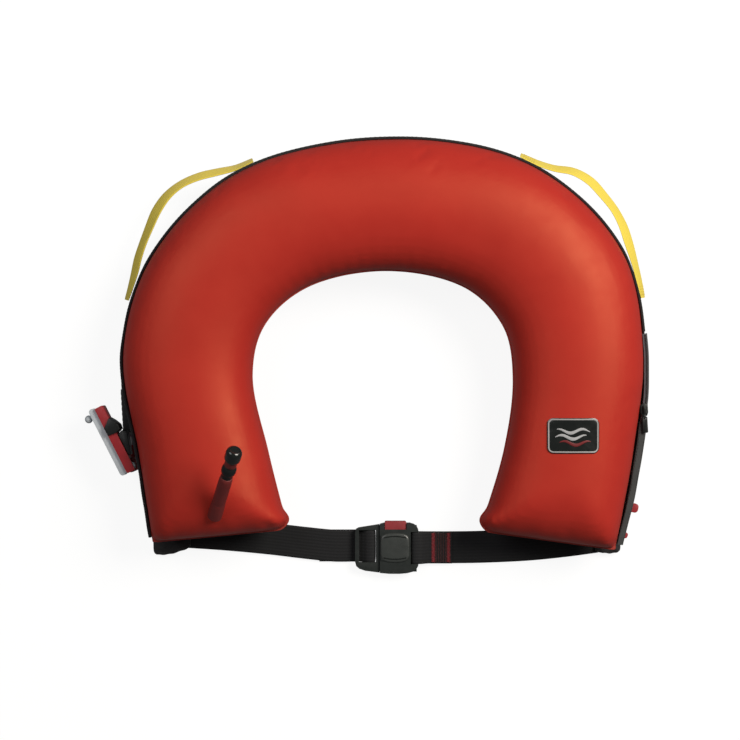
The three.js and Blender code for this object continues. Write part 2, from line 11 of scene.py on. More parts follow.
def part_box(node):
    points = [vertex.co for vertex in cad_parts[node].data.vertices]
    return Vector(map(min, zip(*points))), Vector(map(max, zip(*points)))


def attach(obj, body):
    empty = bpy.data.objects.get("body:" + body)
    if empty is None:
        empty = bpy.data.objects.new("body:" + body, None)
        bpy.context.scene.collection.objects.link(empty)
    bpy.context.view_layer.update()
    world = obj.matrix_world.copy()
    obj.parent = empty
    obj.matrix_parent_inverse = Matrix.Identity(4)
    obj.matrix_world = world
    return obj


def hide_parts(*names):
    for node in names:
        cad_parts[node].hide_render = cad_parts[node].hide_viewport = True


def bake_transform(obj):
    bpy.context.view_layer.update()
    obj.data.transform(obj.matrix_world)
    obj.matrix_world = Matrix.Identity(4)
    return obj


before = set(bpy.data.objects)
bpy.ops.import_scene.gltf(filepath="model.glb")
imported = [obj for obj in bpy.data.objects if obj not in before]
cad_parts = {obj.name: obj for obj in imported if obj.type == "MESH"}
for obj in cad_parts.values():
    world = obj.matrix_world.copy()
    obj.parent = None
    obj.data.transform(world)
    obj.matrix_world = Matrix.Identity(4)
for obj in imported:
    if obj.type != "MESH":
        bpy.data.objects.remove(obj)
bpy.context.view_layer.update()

MM = 0.001

# The design's own numbers, in millimetres. SHIFT turns its places into the frame's: the buckle
# housing's lowest corner is at HOUSING_CORNER in the design.
HOUSING_CORNER = (-4.2, -247.5, 0.0)
SHIFT = np.array(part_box("buckle_housing")[0]) - np.array(HOUSING_CORNER) * MM
BLADDER_MID = 57.0
BLADDER_RISE = 56.0
BLADDER_REST = 2.6
ROUNDNESS = 2.25
LEG_LENGTH = 1180.0
EDGE_CLEAR = 1.0
CORNER_ROUND = 13.0
COVER_ENDS = (0.005, 0.995)
ZIP_ENDS = (0.785, 0.868)
BELT_WIDTH = 38.0
BELT_LOOK = 39.1  # the webbing's fuzzy selvedges all but fill the buckle's slots
WEBBING = 1.8
BELT_LEVEL = 3.4
BELT_DROP = -5.3
OUTER = [(-274, -204), (-290, -101), (-309, 21), (-274, 136), (-171, 235), (8, 274),
         (175, 243), (282, 143), (308, 24), (296, -98), (275, -213)]
INNER = [(-115, -189), (-138, -98), (-157, -6), (-143, 53), (-92, 99), (5, 119),
         (99, 98), (144, 51), (155, -8), (145, -92), (116, -191)]


# ---------------------------------------------------------------- curves
def spline(points, t):
    """A centripetal curve through the points, t from 0 to 1, one point per even step of t."""
    pts = [np.array(p, float) for p in points]
    last = len(pts) - 1
    at = min(max(t, 0.0), 1.0) * last
    i = min(int(at), last - 1)
    w = at - i
    p1, p2 = pts[i], pts[i + 1]
    p0 = pts[i - 1] if i > 0 else 2 * pts[0] - pts[1]
    p3 = pts[i + 2] if i + 2 <= last else 2 * pts[last] - pts[last - 1]
    d0, d1, d2 = (max(np.linalg.norm(b - a), 1e-9) ** 0.5 for a, b in ((p0, p1), (p1, p2), (p2, p3)))
    m1 = ((p1 - p0) / d0 - (p2 - p0) / (d0 + d1) + (p2 - p1) / d1) * d1
    m2 = ((p2 - p1) / d1 - (p3 - p1) / (d1 + d2) + (p3 - p2) / d2) * d1
    return (p1 + m1 * w + (-3 * p1 + 3 * p2 - 2 * m1 - m2) * w ** 2
            + (2 * p1 - 2 * p2 + m1 + m2) * w ** 3)


def station(t):
    """The horseshoe's cross-section at t: outer edge, inner edge, outward direction, half width."""
    outer, inner = spline(OUTER, t), spline(INNER, t)
    span = outer - inner
    inner = inner + span / np.linalg.norm(span) * corner_pull(t)
    span = outer - inner
    length = np.linalg.norm(span)
    return outer, inner, span / length, length / 2


def corner_pull(t):
    """How far the inner edge stands back near a leg's end: a soft knob, then a rounded corner."""
    from_end = min(t, 1 - t) * LEG_LENGTH
    knob = -4.5 * math.exp(-((from_end - 17) / 10) ** 2)
    short = min(max(CORNER_ROUND - from_end, 0.0), CORNER_ROUND)
    return knob + CORNER_ROUND - math.sqrt(CORNER_ROUND ** 2 - short ** 2)


def smooth(value, low, high):
    x = min(max((value - low) / (high - low), 0.0), 1.0)
    return x * x * (3 - 2 * x)


def signed_power(value, power):
    return math.copysign(abs(value) ** power, value)


def place(points):
    """Design millimetres to frame metres."""
    return np.asarray(points, float) * MM + SHIFT


# ---------------------------------------------------------------- meshes
def new_object(name, verts, faces, uvs=None):
    mesh = bpy.data.meshes.new(name)
    mesh.from_pydata([tuple(v) for v in verts], [], faces)
    if uvs is not None:
        layer = mesh.uv_layers.new(name="UVMap")
        index = np.empty(len(mesh.loops), int)
        mesh.loops.foreach_get("vertex_index", index)
        layer.data.foreach_set("uv", np.asarray(uvs, float)[index].ravel())
    obj = bpy.data.objects.new(name, mesh)
    bpy.context.collection.objects.link(obj)
    return obj


def tidy(obj, merge=2e-6, sharp=None):
    """Merges doubled points, turns faces outwards and shades smooth, but not over sharp edges."""
    bm = bmesh.new()
    bm.from_mesh(obj.data)
    bmesh.ops.remove_doubles(bm, verts=bm.verts, dist=merge)
    bmesh.ops.dissolve_degenerate(bm, dist=merge, edges=bm.edges)
    bmesh.ops.recalc_face_normals(bm, faces=bm.faces)
    bm.to_mesh(obj.data)
    bm.free()
    obj.data.shade_smooth()
    if sharp:
        obj.data.set_sharp_from_angle(angle=math.radians(sharp))
    return obj


def lofted(name, rings, uvs=None, closed=False, capped=True, sharp=50):
    """A skin over rings of equal count. closed joins the last ring to the first."""
    rings = np.asarray(rings, float)
    count, sides = rings.shape[:2]
    faces = []
    for r in range(count if closed else count - 1):
        a, b = r * sides, ((r + 1) % count) * sides
        faces += [(a + s, a + (s + 1) % sides, b + (s + 1) % sides, b + s) for s in range(sides)]
    if capped and not closed:
        faces.append(tuple(range(sides)))
        faces.append(tuple(range((count - 1) * sides, count * sides)))
    flat_uv = None if uvs is None else np.asarray(uvs, float).reshape(-1, 2)
    return tidy(new_object(name, rings.reshape(-1, 3), faces, flat_uv), sharp=sharp)


def strip_section(width, thickness, power=3.2, sides=16):
    """The section of a woven strap: flat faces and round selvedges."""
    points = []
    for i in range(sides):
        angle = 2 * math.pi * i / sides
        points.append((width / 2 * signed_power(math.cos(angle), 0.55),
                       thickness / 2 * signed_power(math.sin(angle), 2 / power)))
    return points


def swept(name, line, across, section, steps, ripple=None, closed=False, sharp=50):
    """Sweeps a section along line(t). across(t) is the direction of the section's width."""
    rings, uvs = [], []
    run, before = 0.0, None
    for i in range(steps if closed else steps + 1):
        t = i / steps
        at = np.array(line(t), float)
        ahead = np.array(line(min(t + 1e-3, 1.0)), float) - np.array(line(max(t - 1e-3, 0.0)), float)
        right = np.array(across(t), float)
        right /= np.linalg.norm(right)
        up = np.cross(ahead, right)
        up /= np.linalg.norm(up)
        if before is not None:
            run += float(np.linalg.norm(at - before))
        before = at
        shape = section(t) if callable(section) else section
        lift = ripple if ripple else (lambda t, a: 0.0)
        rings.append([place(at + right * a + up * (b + lift(t, a))) for a, b in shape])
        uvs.append([(run * MM, a * MM) for a, b in shape])
    return lofted(name, rings, uvs, closed, True, sharp)


def turned(name, profile, origin, axis, sides=40, sharp=35):
    """Turns (radius, height) pairs round an axis. A profile may close on itself as a ring does."""
    axis = Vector(axis).normalized()
    turn = Vector((0, 0, 1)).rotation_difference(axis).to_matrix()
    rings = []
    for radius, height in profile:
        ring = []
        for s in range(sides):
            angle = 2 * math.pi * s / sides
            point = Vector((radius * math.cos(angle), radius * math.sin(angle), height))
            ring.append(place(np.array(turn @ point) + np.array(origin, float)))
        rings.append(ring)
    ring_like = profile[0] == profile[-1]
    if ring_like:
        rings = rings[:-1]
    return lofted(name, rings, closed=ring_like, capped=not ring_like, sharp=sharp)


def from_bmesh(name, bm):
    mesh = bpy.data.meshes.new(name)
    bm.to_mesh(mesh)
    bm.free()
    mesh.shade_smooth()
    obj = bpy.data.objects.new(name, mesh)
    bpy.context.collection.objects.link(obj)
    return obj


def softened(name, node, width=0.5, segments=2, sharp=28):
    """A copy of a CAD node with its edges rounded by width, in millimetres."""
    bm = bmesh.new()
    bm.from_mesh(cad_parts[node].data)
    bmesh.ops.remove_doubles(bm, verts=bm.verts, dist=2e-6)
    bmesh.ops.dissolve_limit(bm, angle_limit=math.radians(1.5), verts=bm.verts, edges=bm.edges)
    edges = [e for e in bm.edges
             if len(e.link_faces) == 2 and e.calc_face_angle(0) > math.radians(sharp)]
    bmesh.ops.bevel(bm, geom=edges, offset=width * MM, segments=segments, profile=0.6,
                    affect="EDGES", clamp_overlap=True)
    obj = from_bmesh(name, bm)
    obj.data.set_sharp_from_angle(angle=math.radians(32))
    return obj


# ---------------------------------------------------------------- materials
def material(name):
    mat = bpy.data.materials.new(name)
    mat.use_nodes = True
    tree = mat.node_tree
    return mat, tree, tree.nodes["Principled BSDF"]


def link(tree, a, b):
    tree.links.new(a, b)


def node(tree, kind, **values):
    made = tree.nodes.new(kind)
    for key, value in values.items():
        if key in made.inputs:
            made.inputs[key].default_value = value
        else:
            setattr(made, key, value)
    return made


def coordinates(tree, by_uv, scale):
    source = node(tree, "ShaderNodeTexCoord")
    mapping = node(tree, "ShaderNodeMapping")
    mapping.inputs["Scale"].default_value = scale
    link(tree, source.outputs["UV" if by_uv else "Object"], mapping.inputs["Vector"])
    return mapping.outputs["Vector"]


def noise(tree, vector, scale, detail=4.0, rough=0.55):
    made = node(tree, "ShaderNodeTexNoise")
    made.inputs["Scale"].default_value = scale
    made.inputs["Detail"].default_value = detail
    made.inputs["Roughness"].default_value = rough
    link(tree, vector, made.inputs["Vector"])
    return made.outputs["Fac"]


def ramp(tree, fac, low, high, start=0.3, end=0.7):
    made = node(tree, "ShaderNodeValToRGB")
    made.color_ramp.elements[0].position = start
    made.color_ramp.elements[1].position = end
    made.color_ramp.elements[0].color = low
    made.color_ramp.elements[1].color = high
    link(tree, fac, made.inputs["Fac"])
    return made.outputs["Color"]


def grey(value):
    return (value, value, value, 1)


def shade(colour, factor):
    return (colour[0] * factor, colour[1] * factor, colour[2] * factor, 1)


def math_node(tree, operation, a, b=None):
    made = node(tree, "ShaderNodeMath", operation=operation)
    for socket, value in zip(made.inputs, (a, b)):
        if value is None:
            continue
        if isinstance(value, (int, float)):
            socket.default_value = value
        else:
            link(tree, value, socket)
    return made.outputs["Value"]


def bump(tree, shader, height, distance, strength=1.0, below=None):
    made = node(tree, "ShaderNodeBump")
    made.inputs["Strength"].default_value = strength
    made.inputs["Distance"].default_value = distance
    link(tree, height, made.inputs["Height"])
    if below is not None:
        link(tree, below, made.inputs["Normal"])
    link(tree, made.outputs["Normal"], shader.inputs["Normal"])
    return made.outputs["Normal"]


def wave(tree, vector, direction, scale, distortion=0.0):
    made = node(tree, "ShaderNodeTexWave", wave_type="BANDS", bands_direction=direction,
                wave_profile="SIN")
    made.inputs["Scale"].default_value = scale
    made.inputs["Distortion"].default_value = distortion
    link(tree, vector, made.inputs["Vector"])
    return made.outputs["Fac"]


def weave(tree, vector, pitch):
    """Height of a plain weave, with threads pitch metres apart along X and Y of the vector."""
    scale = 2 * math.pi / (20 * pitch)  # a wave texture repeats every 2 pi / 20 at scale 1
    along = wave(tree, vector, "X", scale)
    over = wave(tree, vector, "Y", scale)
    return math_node(tree, "MULTIPLY", along, over)


def cloth_material(name, colour, roughness, pitch, depth, by_uv=True, vary=0.16, sheen=0.3,
                   crease=0.0004, specular=0.4, coat=0.0, tint=(1, 1, 1, 1)):
    """Woven or coated fabric: cloudy colour, a thread pattern and soft creases."""
    mat, tree, shader = material(name)
    flat = coordinates(tree, by_uv, (1, 1, 1))
    solid = coordinates(tree, False, (1, 1, 1))
    cloud = noise(tree, solid, 9.0, 5.0)
    link(tree, ramp(tree, cloud, shade(colour, 1 - vary), shade(colour, 1 + vary)),
         shader.inputs["Base Color"])
    rough = noise(tree, solid, 35.0, 3.0)
    link(tree, ramp(tree, rough, grey(roughness - 0.05), grey(roughness + 0.06)),
         shader.inputs["Roughness"])
    creases = bump(tree, shader, noise(tree, solid, 26.0, 4.0), crease)
    bump(tree, shader, weave(tree, flat, pitch), depth, below=creases)
    shader.inputs["Sheen Weight"].default_value = sheen
    shader.inputs["Sheen Roughness"].default_value = 0.4
    shader.inputs["Specular IOR Level"].default_value = specular
    shader.inputs["Specular Tint"].default_value = tint
    shader.inputs["Coat Weight"].default_value = coat
    shader.inputs["Coat Roughness"].default_value = 0.35
    return mat


def webbing_material(name, colour, rib, depth, roughness=0.75, vary=0.2, sheen=0.25):
    """Ribbed webbing: cords across the strap, broken by the weft along it."""
    mat, tree, shader = material(name)
    flat = coordinates(tree, True, (1, 1, 1))
    solid = coordinates(tree, False, (1, 1, 1))
    scale = 2 * math.pi / (20 * rib)
    cords = wave(tree, flat, "Y", scale * 0.5)
    weft = wave(tree, flat, "X", scale)
    pattern = math_node(tree, "MULTIPLY", cords, math_node(tree, "ADD", math_node(
        tree, "MULTIPLY", weft, 0.45), 0.55))
    fuzz = noise(tree, solid, 900.0, 2.0)
    tone = math_node(tree, "ADD", math_node(tree, "MULTIPLY", pattern, 0.55), math_node(
        tree, "MULTIPLY", fuzz, 0.45))
    link(tree, ramp(tree, tone, shade(colour, 1 - vary), shade(colour, 1 + vary), 0.2, 0.8),
         shader.inputs["Base Color"])
    link(tree, ramp(tree, fuzz, grey(roughness - 0.06), grey(roughness + 0.08)),
         shader.inputs["Roughness"])
    soft = bump(tree, shader, noise(tree, solid, 60.0, 3.0), 0.0003)
    bump(tree, shader, pattern, depth, below=soft)
    shader.inputs["Sheen Weight"].default_value = sheen
    shader.inputs["Specular IOR Level"].default_value = 0.3
    return mat


def plastic_material(name, colour, roughness, grain=0.00006, vary=0.12, specular=0.5, coat=0.0):
    """Moulded plastic: a fine spark-eroded grain, uneven gloss and slightly paler worn patches."""
    mat, tree, shader = material(name)
    solid = coordinates(tree, False, (1, 1, 1))
    wear = noise(tree, solid, 55.0, 6.0, 0.6)
    link(tree, ramp(tree, wear, shade(colour, 1 - vary), shade(colour, 1 + vary)),
         shader.inputs["Base Color"])
    link(tree, ramp(tree, noise(tree, solid, 120.0, 4.0), grey(roughness - 0.07),
                    grey(roughness + 0.09)), shader.inputs["Roughness"])
    bump(tree, shader, noise(tree, solid, 2600.0, 2.0), grain)
    shader.inputs["Specular IOR Level"].default_value = specular
    shader.inputs["Coat Weight"].default_value = coat
    shader.inputs["Coat Roughness"].default_value = 0.12
    return mat


def metal_material(name, colour, roughness, scratch=0.00003):
    """Plated steel: a brushed finish with faint stains."""
    mat, tree, shader = material(name)
    solid = coordinates(tree, False, (1, 1, 1))
    stain = noise(tree, solid, 70.0, 5.0)
    link(tree, ramp(tree, stain, shade(colour, 0.8), shade(colour, 1.1)), shader.inputs["Base Color"])
    brushed = noise(tree, coordinates(tree, False, (1, 14, 1)), 320.0, 3.0)
    link(tree, ramp(tree, brushed, grey(roughness - 0.08), grey(roughness + 0.1)),
         shader.inputs["Roughness"])
    bump(tree, shader, brushed, scratch)
    shader.inputs["Metallic"].default_value = 1.0
    return mat


RED = (0.455, 0.028, 0.021)
BLADDER_CLOTH = cloth_material("bladder_cloth", RED, 0.42, 0.0006, 0.00004, vary=0.06, sheen=0.0,
                               crease=0.0003, specular=0.55, coat=0.0, by_uv=False,
                               tint=(1.0, 0.42, 0.2, 1.0))
WELD_CLOTH = cloth_material("weld_cloth", (0.40, 0.035, 0.022), 0.5, 0.0011, 0.00016, vary=0.1)
COVER_CLOTH = cloth_material("cover_cloth", (0.014, 0.0135, 0.015), 0.78, 0.0009, 0.00016,
                             vary=0.25, sheen=0.35, crease=0.0009)
BINDING_TAPE = webbing_material("binding_tape", (0.012, 0.012, 0.013), 0.0012, 0.0002)
GREY_TAPE = webbing_material("grey_tape", (0.045, 0.047, 0.048), 0.0010, 0.00018, roughness=0.6)
ZIP_TAPE = webbing_material("zip_tape", (0.085, 0.08, 0.095), 0.0009, 0.0002, roughness=0.6)
BELT_WEBBING = webbing_material("belt_webbing_black", (0.0085, 0.0090, 0.0105), 0.0019, 0.0002,
                                sheen=0.15)
YELLOW_WEBBING = webbing_material("handle_webbing_yellow", (0.86, 0.67, 0.08), 0.0017, 0.00026,
                                  vary=0.1, sheen=0.2)
RED_THREAD = webbing_material("red_thread", (0.26, 0.018, 0.026), 0.0006, 0.0001)
DARK_RED_THREAD = webbing_material("dark_red_thread", (0.055, 0.012, 0.012), 0.0006, 0.0001)
BLACK_THREAD = webbing_material("black_thread", (0.03, 0.03, 0.032), 0.0006, 0.0001)
YELLOW_THREAD = webbing_material("yellow_thread", (0.62, 0.47, 0.06), 0.0006, 0.0001)
BLACK_PLASTIC = plastic_material("black_plastic_moulded", (0.011, 0.0125, 0.0125), 0.36, specular=0.35)
BUCKLE_PLASTIC = plastic_material("buckle_plastic_dark", (0.021, 0.025, 0.024), 0.3, specular=0.5)
GLOSS_PLASTIC = plastic_material("gloss_plastic_black", (0.008, 0.010, 0.009), 0.2, grain=0.00001,
                                 coat=0.3)
RED_PLASTIC = plastic_material("red_plastic_moulded", (0.36, 0.024, 0.03), 0.36)
BUTTON_PLASTIC = plastic_material("button_plastic_red", (0.30, 0.04, 0.045), 0.36)
# The raised panel's paler grey is partly the plastic's own tone and partly painted sheen: a lighter copy of
# the housing's dark plastic on its up-facing top.
PANEL_GREY_AND_SHEEN = plastic_material("panel_plastic_grey_and_sheen", (0.040, 0.045, 0.043), 0.3, coat=0.15)
GREY_PLASTIC = plastic_material("grey_plastic_moulded", (0.56, 0.60, 0.64), 0.33, vary=0.07)
HOSE_RUBBER = plastic_material("red_hose_rubber", (0.17, 0.018, 0.016), 0.5, grain=0.0001)
ZINC = metal_material("zinc_plate", (0.50, 0.51, 0.52), 0.33)
EMBLEM_GREY = plastic_material("emblem_grey", (0.42, 0.42, 0.43), 0.4)
EMBLEM_RED = plastic_material("emblem_red", (0.16, 0.012, 0.014), 0.4)
RIM_PALE = plastic_material("badge_rim_pale", (0.36, 0.35, 0.35), 0.4)

PIECES = []


def finish_piece(obj, mat, body="root", nodes=()):
    """Gives a piece its material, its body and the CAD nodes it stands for."""
    obj.data.materials.clear()
    obj.data.materials.append(mat)
    if body:
        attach(obj, body)
    if nodes:
        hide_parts(*nodes)
    PIECES.append(obj)
    return obj


def plate_spring(node_name):
    """A spring keeps its CAD mesh and gets a plated look."""
    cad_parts[node_name].data.materials.clear()
    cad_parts[node_name].data.materials.append(ZINC)


# ---------------------------------------------------------------- camera, light and floor
def add_camera():
    data = bpy.data.cameras.new("camera")
    data.sensor_width = 36.0
    camera = bpy.data.objects.new("camera", data)
    bpy.context.collection.objects.link(camera)
    plane_width, height = 0.8806, 2.1  # what the frame takes in at the weld line's height
    data.lens = data.sensor_width * height / plane_width
    looks_at = place((-16.1, 0.0, BLADDER_MID))
    camera.location = Vector(looks_at) + Vector((0, 0, height))
    camera.rotation_euler = (0, 0, 0)
    data.clip_end = 50
    bpy.context.scene.camera = camera


def add_light(name, location, target, size, power, colour=(1, 1, 1)):
    data = bpy.data.lights.new(name, "AREA")
    data.shape = "DISK"
    data.size = size
    data.energy = power
    data.color = colour
    lamp = bpy.data.objects.new(name, data)
    bpy.context.collection.objects.link(lamp)
    lamp.location = location
    lamp.rotation_euler = (Vector(target) - Vector(location)).to_track_quat("-Z", "Y").to_euler()
    return lamp


def add_studio():
    world = bpy.data.worlds.new("studio")
    bpy.context.scene.world = world
    world.use_nodes = True
    world.node_tree.nodes["Background"].inputs["Color"].default_value = (1, 1, 1, 1)
    world.node_tree.nodes["Background"].inputs["Strength"].default_value = 0.12
    add_light("key", (1.7, 1.0, 2.0), (0, 0, 0.05), 1.5, 77, (1.0, 0.95, 0.86))
    add_light("fill", (-1.5, 1.1, 2.3), (0, 0, 0), 1.6, 20)
    half = 12.0
    corners = [(-half, -half, 0), (half, -half, 0), (half, half, 0), (-half, half, 0)]
    floor = new_object("floor", corners, [(0, 1, 2, 3)])
    mat, tree, shader = material("floor_paint")
    solid = coordinates(tree, False, (1, 1, 1))
    link(tree, ramp(tree, noise(tree, solid, 3.0), grey(0.14), grey(0.15)), shader.inputs["Base Color"])
    shader.inputs["Roughness"].default_value = 0.9
    shader.inputs["Specular IOR Level"].default_value = 0.1
    shader.inputs["Emission Color"].default_value = (1, 1, 1, 1)
    shader.inputs["Emission Strength"].default_value = 0.9
    floor.data.materials.append(mat)
    floor.location.z = -0.0005
    floor.visible_diffuse = False
    floor.visible_glossy = False
    bpy.context.scene.view_settings.view_transform = "Standard"


# ---------------------------------------------------------------- bladder
SLACK_SHARE = 0.965  # the upper skin's height before the gas goes in
VOXEL = 5.0
MOST_SWELL = 9.0
END_REACH = 0.92  # how much faster a leg's end swells than its sides


def soft_least(a, b, blend):
    """The lesser of two distances, with a rounded ridge where they are equal."""
    h = min(max(0.5 + 0.5 * (b - a) / blend, 0.0), 1.0)
    return b + (a - b) * h - blend * h * (1 - h)


def swelling(distance, half):
    """Height over the weld line as a share of the full rise, at a distance in from the weld."""
    x = min(max(distance / half, 0.0), 1.0)
    return (1 - (1 - x) ** ROUNDNESS) ** (1 / ROUNDNESS)


def bladder_height(t, across, half):
    """Height of the bladder's skin over its weld line, at a place across the tube."""
    from_side = half - abs(across)
    from_end = min(t, 1 - t) * LEG_LENGTH * END_REACH
    near = soft_least(from_side, from_end, 16.0)
    return BLADDER_RISE * swelling(max(near, min(from_side, from_end) * 0.25), half)


def puckers(t, across, half):
    """Small wrinkles that run in from the welds: round the inner curve and at the legs' ends."""
    run = t * LEG_LENGTH
    from_end = min(t, 1 - t) * LEG_LENGTH
    inner = half + across
    outer = half - across
    tight = smooth(t, 0.2, 0.34) * (1 - smooth(t, 0.66, 0.8))
    round_curve = (0.35 + 0.9 * tight) * math.exp(-(inner / 17) ** 1.3) * (
        math.sin(2 * math.pi * run / 19 + 2.1 * math.sin(run / 47)) + 0.5 * math.sin(run / 2.1))
    outside = 0.35 * math.exp(-(outer / 12) ** 1.3) * math.sin(
        2 * math.pi * run / 27 + math.sin(run / 61))
    ends = 1.5 * math.exp(-from_end / 15) * math.sin(across / 4.1 + 1.3 * math.sin(across / 11) + 5 * t)
    fold = 1.1 * math.exp(-from_end / 34) * math.sin(across / 11.5 + 2.0 + from_end / 30)
    return round_curve + outside + ends + fold


def corner_crease(t, across, half):
    """The deep tuck where a leg's inner corner is pulled in by its weld."""
    from_end = min(t, 1 - t) * LEG_LENGTH
    depth = 4.5 if t < 0.5 else 3.0
    along = (half + across) - 13 - 0.9 * from_end
    return -depth * math.exp(-(along / 5.0) ** 2) * math.exp(-((from_end - 9) / 11) ** 2)


def bladder_rings(steps, sides):
    """Rings and flat distances of the bladder's skin, in design millimetres."""
    rings, uvs = [], []
    for i in range(steps + 1):
        t = 0.5 - 0.5 * math.cos(math.pi * (0.06 + 0.88 * i / steps))
        low, high = (0.5 - 0.5 * math.cos(math.pi * e) for e in (0.06, 0.94))
        t = (t - low) / (high - low)
        outer, inner, outward, half = station(t)
        middle = (outer + inner) / 2
        ring, flat = [], []
        for s in range(sides):
            angle = 2 * math.pi * s / sides
            across = half * signed_power(math.cos(angle), 2 / ROUNDNESS)
            side = math.copysign(1, math.sin(angle)) if abs(math.sin(angle)) > 1e-9 else 0.0
            rise = bladder_height(t, across, half)
            seam = min(rise / 12.0, 1.0)
            wrinkle = (puckers(t, across, half) + corner_crease(t, across, half)) * seam
            up = side * max(rise + wrinkle, 0.0)
            up = max(up, BLADDER_REST - BLADDER_MID)
            flatxy = middle + outward * across
            ring.append((flatxy[0], flatxy[1], BLADDER_MID + up))
            flat.append((t * LEG_LENGTH * MM, angle * half * 0.85 * MM))
        rings.append(ring)
        uvs.append(flat)
    return rings, uvs


def add_bladder():
    rings, uvs = bladder_rings(320, 112)
    rings = [[(x, y, z if z < BLADDER_MID else BLADDER_MID + (z - BLADDER_MID) * SLACK_SHARE)
              for x, y, z in ring] for ring in rings]
    skin = lofted("bladder_skin", place(rings), uvs, capped=False, sharp=None)
    bmesh_close(skin)
    surface = inflate(skin)
    finish_piece(skin, BLADDER_CLOTH, nodes=["bladder"])
    return surface


def apply_modifiers(obj):
    mesh = bpy.data.meshes.new_from_object(obj.evaluated_get(bpy.context.evaluated_depsgraph_get()))
    obj.modifiers.clear()
    obj.data = mesh


def coordinates_of(obj):
    values = np.empty(len(obj.data.vertices) * 3)
    obj.data.vertices.foreach_get("co", values)
    return values.reshape(-1, 3)


def inflate(obj):
    """Fills the skin with gas: a cloth under pressure, held at its weld and where it rests."""
    weld = [place((x, y, BLADDER_MID)) for x, y in weld_line()[0]]
    near_weld = KDTree(len(weld))
    for i, point in enumerate(weld):
        near_weld.insert(point, i)
    near_weld.balance()
    remesh = obj.modifiers.new("voxels", "REMESH")
    remesh.mode = "VOXEL"
    remesh.voxel_size = VOXEL * MM
    apply_modifiers(obj)
    held = obj.vertex_groups.new(name="held")
    for v in obj.data.vertices:
        if near_weld.find(v.co)[2] < VOXEL * MM or v.co.z < 4 * MM:
            held.add([v.index], 1.0, "REPLACE")
    start = coordinates_of(obj)
    cloth = obj.modifiers.new("gas", "CLOTH")
    cloth.settings.quality = 5
    cloth.settings.mass = 0.2
    cloth.settings.tension_stiffness = 20
    cloth.settings.compression_stiffness = 20
    cloth.settings.shear_stiffness = 8
    cloth.settings.bending_stiffness = 2.0
    cloth.settings.use_pressure = True
    cloth.settings.uniform_pressure_force = 5
    cloth.settings.effector_weights.gravity = 0
    cloth.settings.vertex_group_mass = "held"
    cloth.point_cache.frame_start, cloth.point_cache.frame_end = 1, 20
    for number in range(1, 21):
        bpy.context.scene.frame_set(number)
    apply_modifiers(obj)
    bpy.context.scene.frame_set(1)
    move = coordinates_of(obj) - start
    length = np.maximum(np.linalg.norm(move, axis=1), 1e-9)
    move *= np.minimum(1, MOST_SWELL * MM / length)[:, None]
    obj.data.vertices.foreach_set("co", (start + move).ravel())
    obj.vertex_groups.clear()
    obj.data.shade_smooth()
    add_subdivision(obj, 1)
    obj.data.update()
    return BVHTree.FromObject(obj, bpy.context.evaluated_depsgraph_get())


def bmesh_close(obj):
    """Joins the upper and the lower skin along the legs' end welds."""
    bm = bmesh.new()
    bm.from_mesh(obj.data)
    bmesh.ops.remove_doubles(bm, verts=bm.verts, dist=3e-5)
    loose = [e for e in bm.edges if e.is_boundary]
    if loose:
        bmesh.ops.holes_fill(bm, edges=loose, sides=0)
    bmesh.ops.recalc_face_normals(bm, faces=bm.faces)
    bm.to_mesh(obj.data)
    bm.free()
    obj.data.shade_smooth()


def weld_line():
    """The closed line of the weld: outer edge, right end, inner edge and left end."""
    steps = 360
    places = [station(0.5 - 0.5 * math.cos(math.pi * i / steps)) for i in range(steps + 1)]
    line = [outer for outer, _, _, _ in places]
    back = [inner for _, inner, _, _ in places][::-1]
    right_end = [line[-1] * (1 - w) + back[0] * w for w in np.linspace(0, 1, 26)[1:-1]]
    left_end = [back[-1] * (1 - w) + line[0] * w for w in np.linspace(0, 1, 26)[1:-1]]
    return np.array(line + right_end + back + left_end), len(line), len(line) + len(right_end)


def add_weld():
    """The flat welded border round the bladder, ribbed by the welding tool."""
    line, outer_count, inner_from = weld_line()
    count = len(line)
    ahead = np.roll(line, -1, 0) - np.roll(line, 1, 0)
    ahead /= np.linalg.norm(ahead, axis=1)[:, None]
    outwards = np.stack([-ahead[:, 1], ahead[:, 0]], 1)
    run = np.concatenate([[0], np.cumsum(np.linalg.norm(np.diff(line, axis=0), axis=1))])
    rings, uvs = [], []
    for i in range(count):
        reach = 0.6 if i < outer_count else 1.1
        wave_up = 0.5 * math.sin(run[i] / 9 + 1.7 * math.sin(run[i] / 31))
        section = [(-3.0, -0.5), (reach, -0.4), (reach + 0.3, 0), (reach, 0.4), (-3.0, 0.5)]
        rings.append([(line[i][0] + outwards[i][0] * a, line[i][1] + outwards[i][1] * a,
                       BLADDER_MID + b + wave_up * (a + 3) / 6) for a, b in section])
        uvs.append([(run[i] * MM, a * MM) for a, b in section])
    border = lofted("bladder_weld_border", place(rings), uvs, closed=True, sharp=40)
    finish_piece(border, WELD_CLOTH)


# ---------------------------------------------------------------- cover
def wall_stand_off(t):
    right = 5 * smooth(t - 0.72, 0, 0.2) * (1 - 0.6 * smooth(t, 0.955, 0.995))
    left = 1.4 * smooth(0.30 - t, 0, 0.2) * (0.4 + 0.6 * smooth(t, 0.005, 0.06))
    return left + right


def end_rise(t):
    """How high the leg stands over its weld line: less and less in its last 66 mm."""
    near = min(min(t, 1 - t) * LEG_LENGTH / 66, 1)
    return 2 + (BLADDER_RISE - 2) * math.sqrt(1 - (1 - near) ** 2)


def on_section(half, rise, degrees):
    angle = math.radians(degrees)
    return (half * signed_power(math.cos(angle), 2 / ROUNDNESS),
            rise * signed_power(math.sin(angle), 2 / ROUNDNESS))


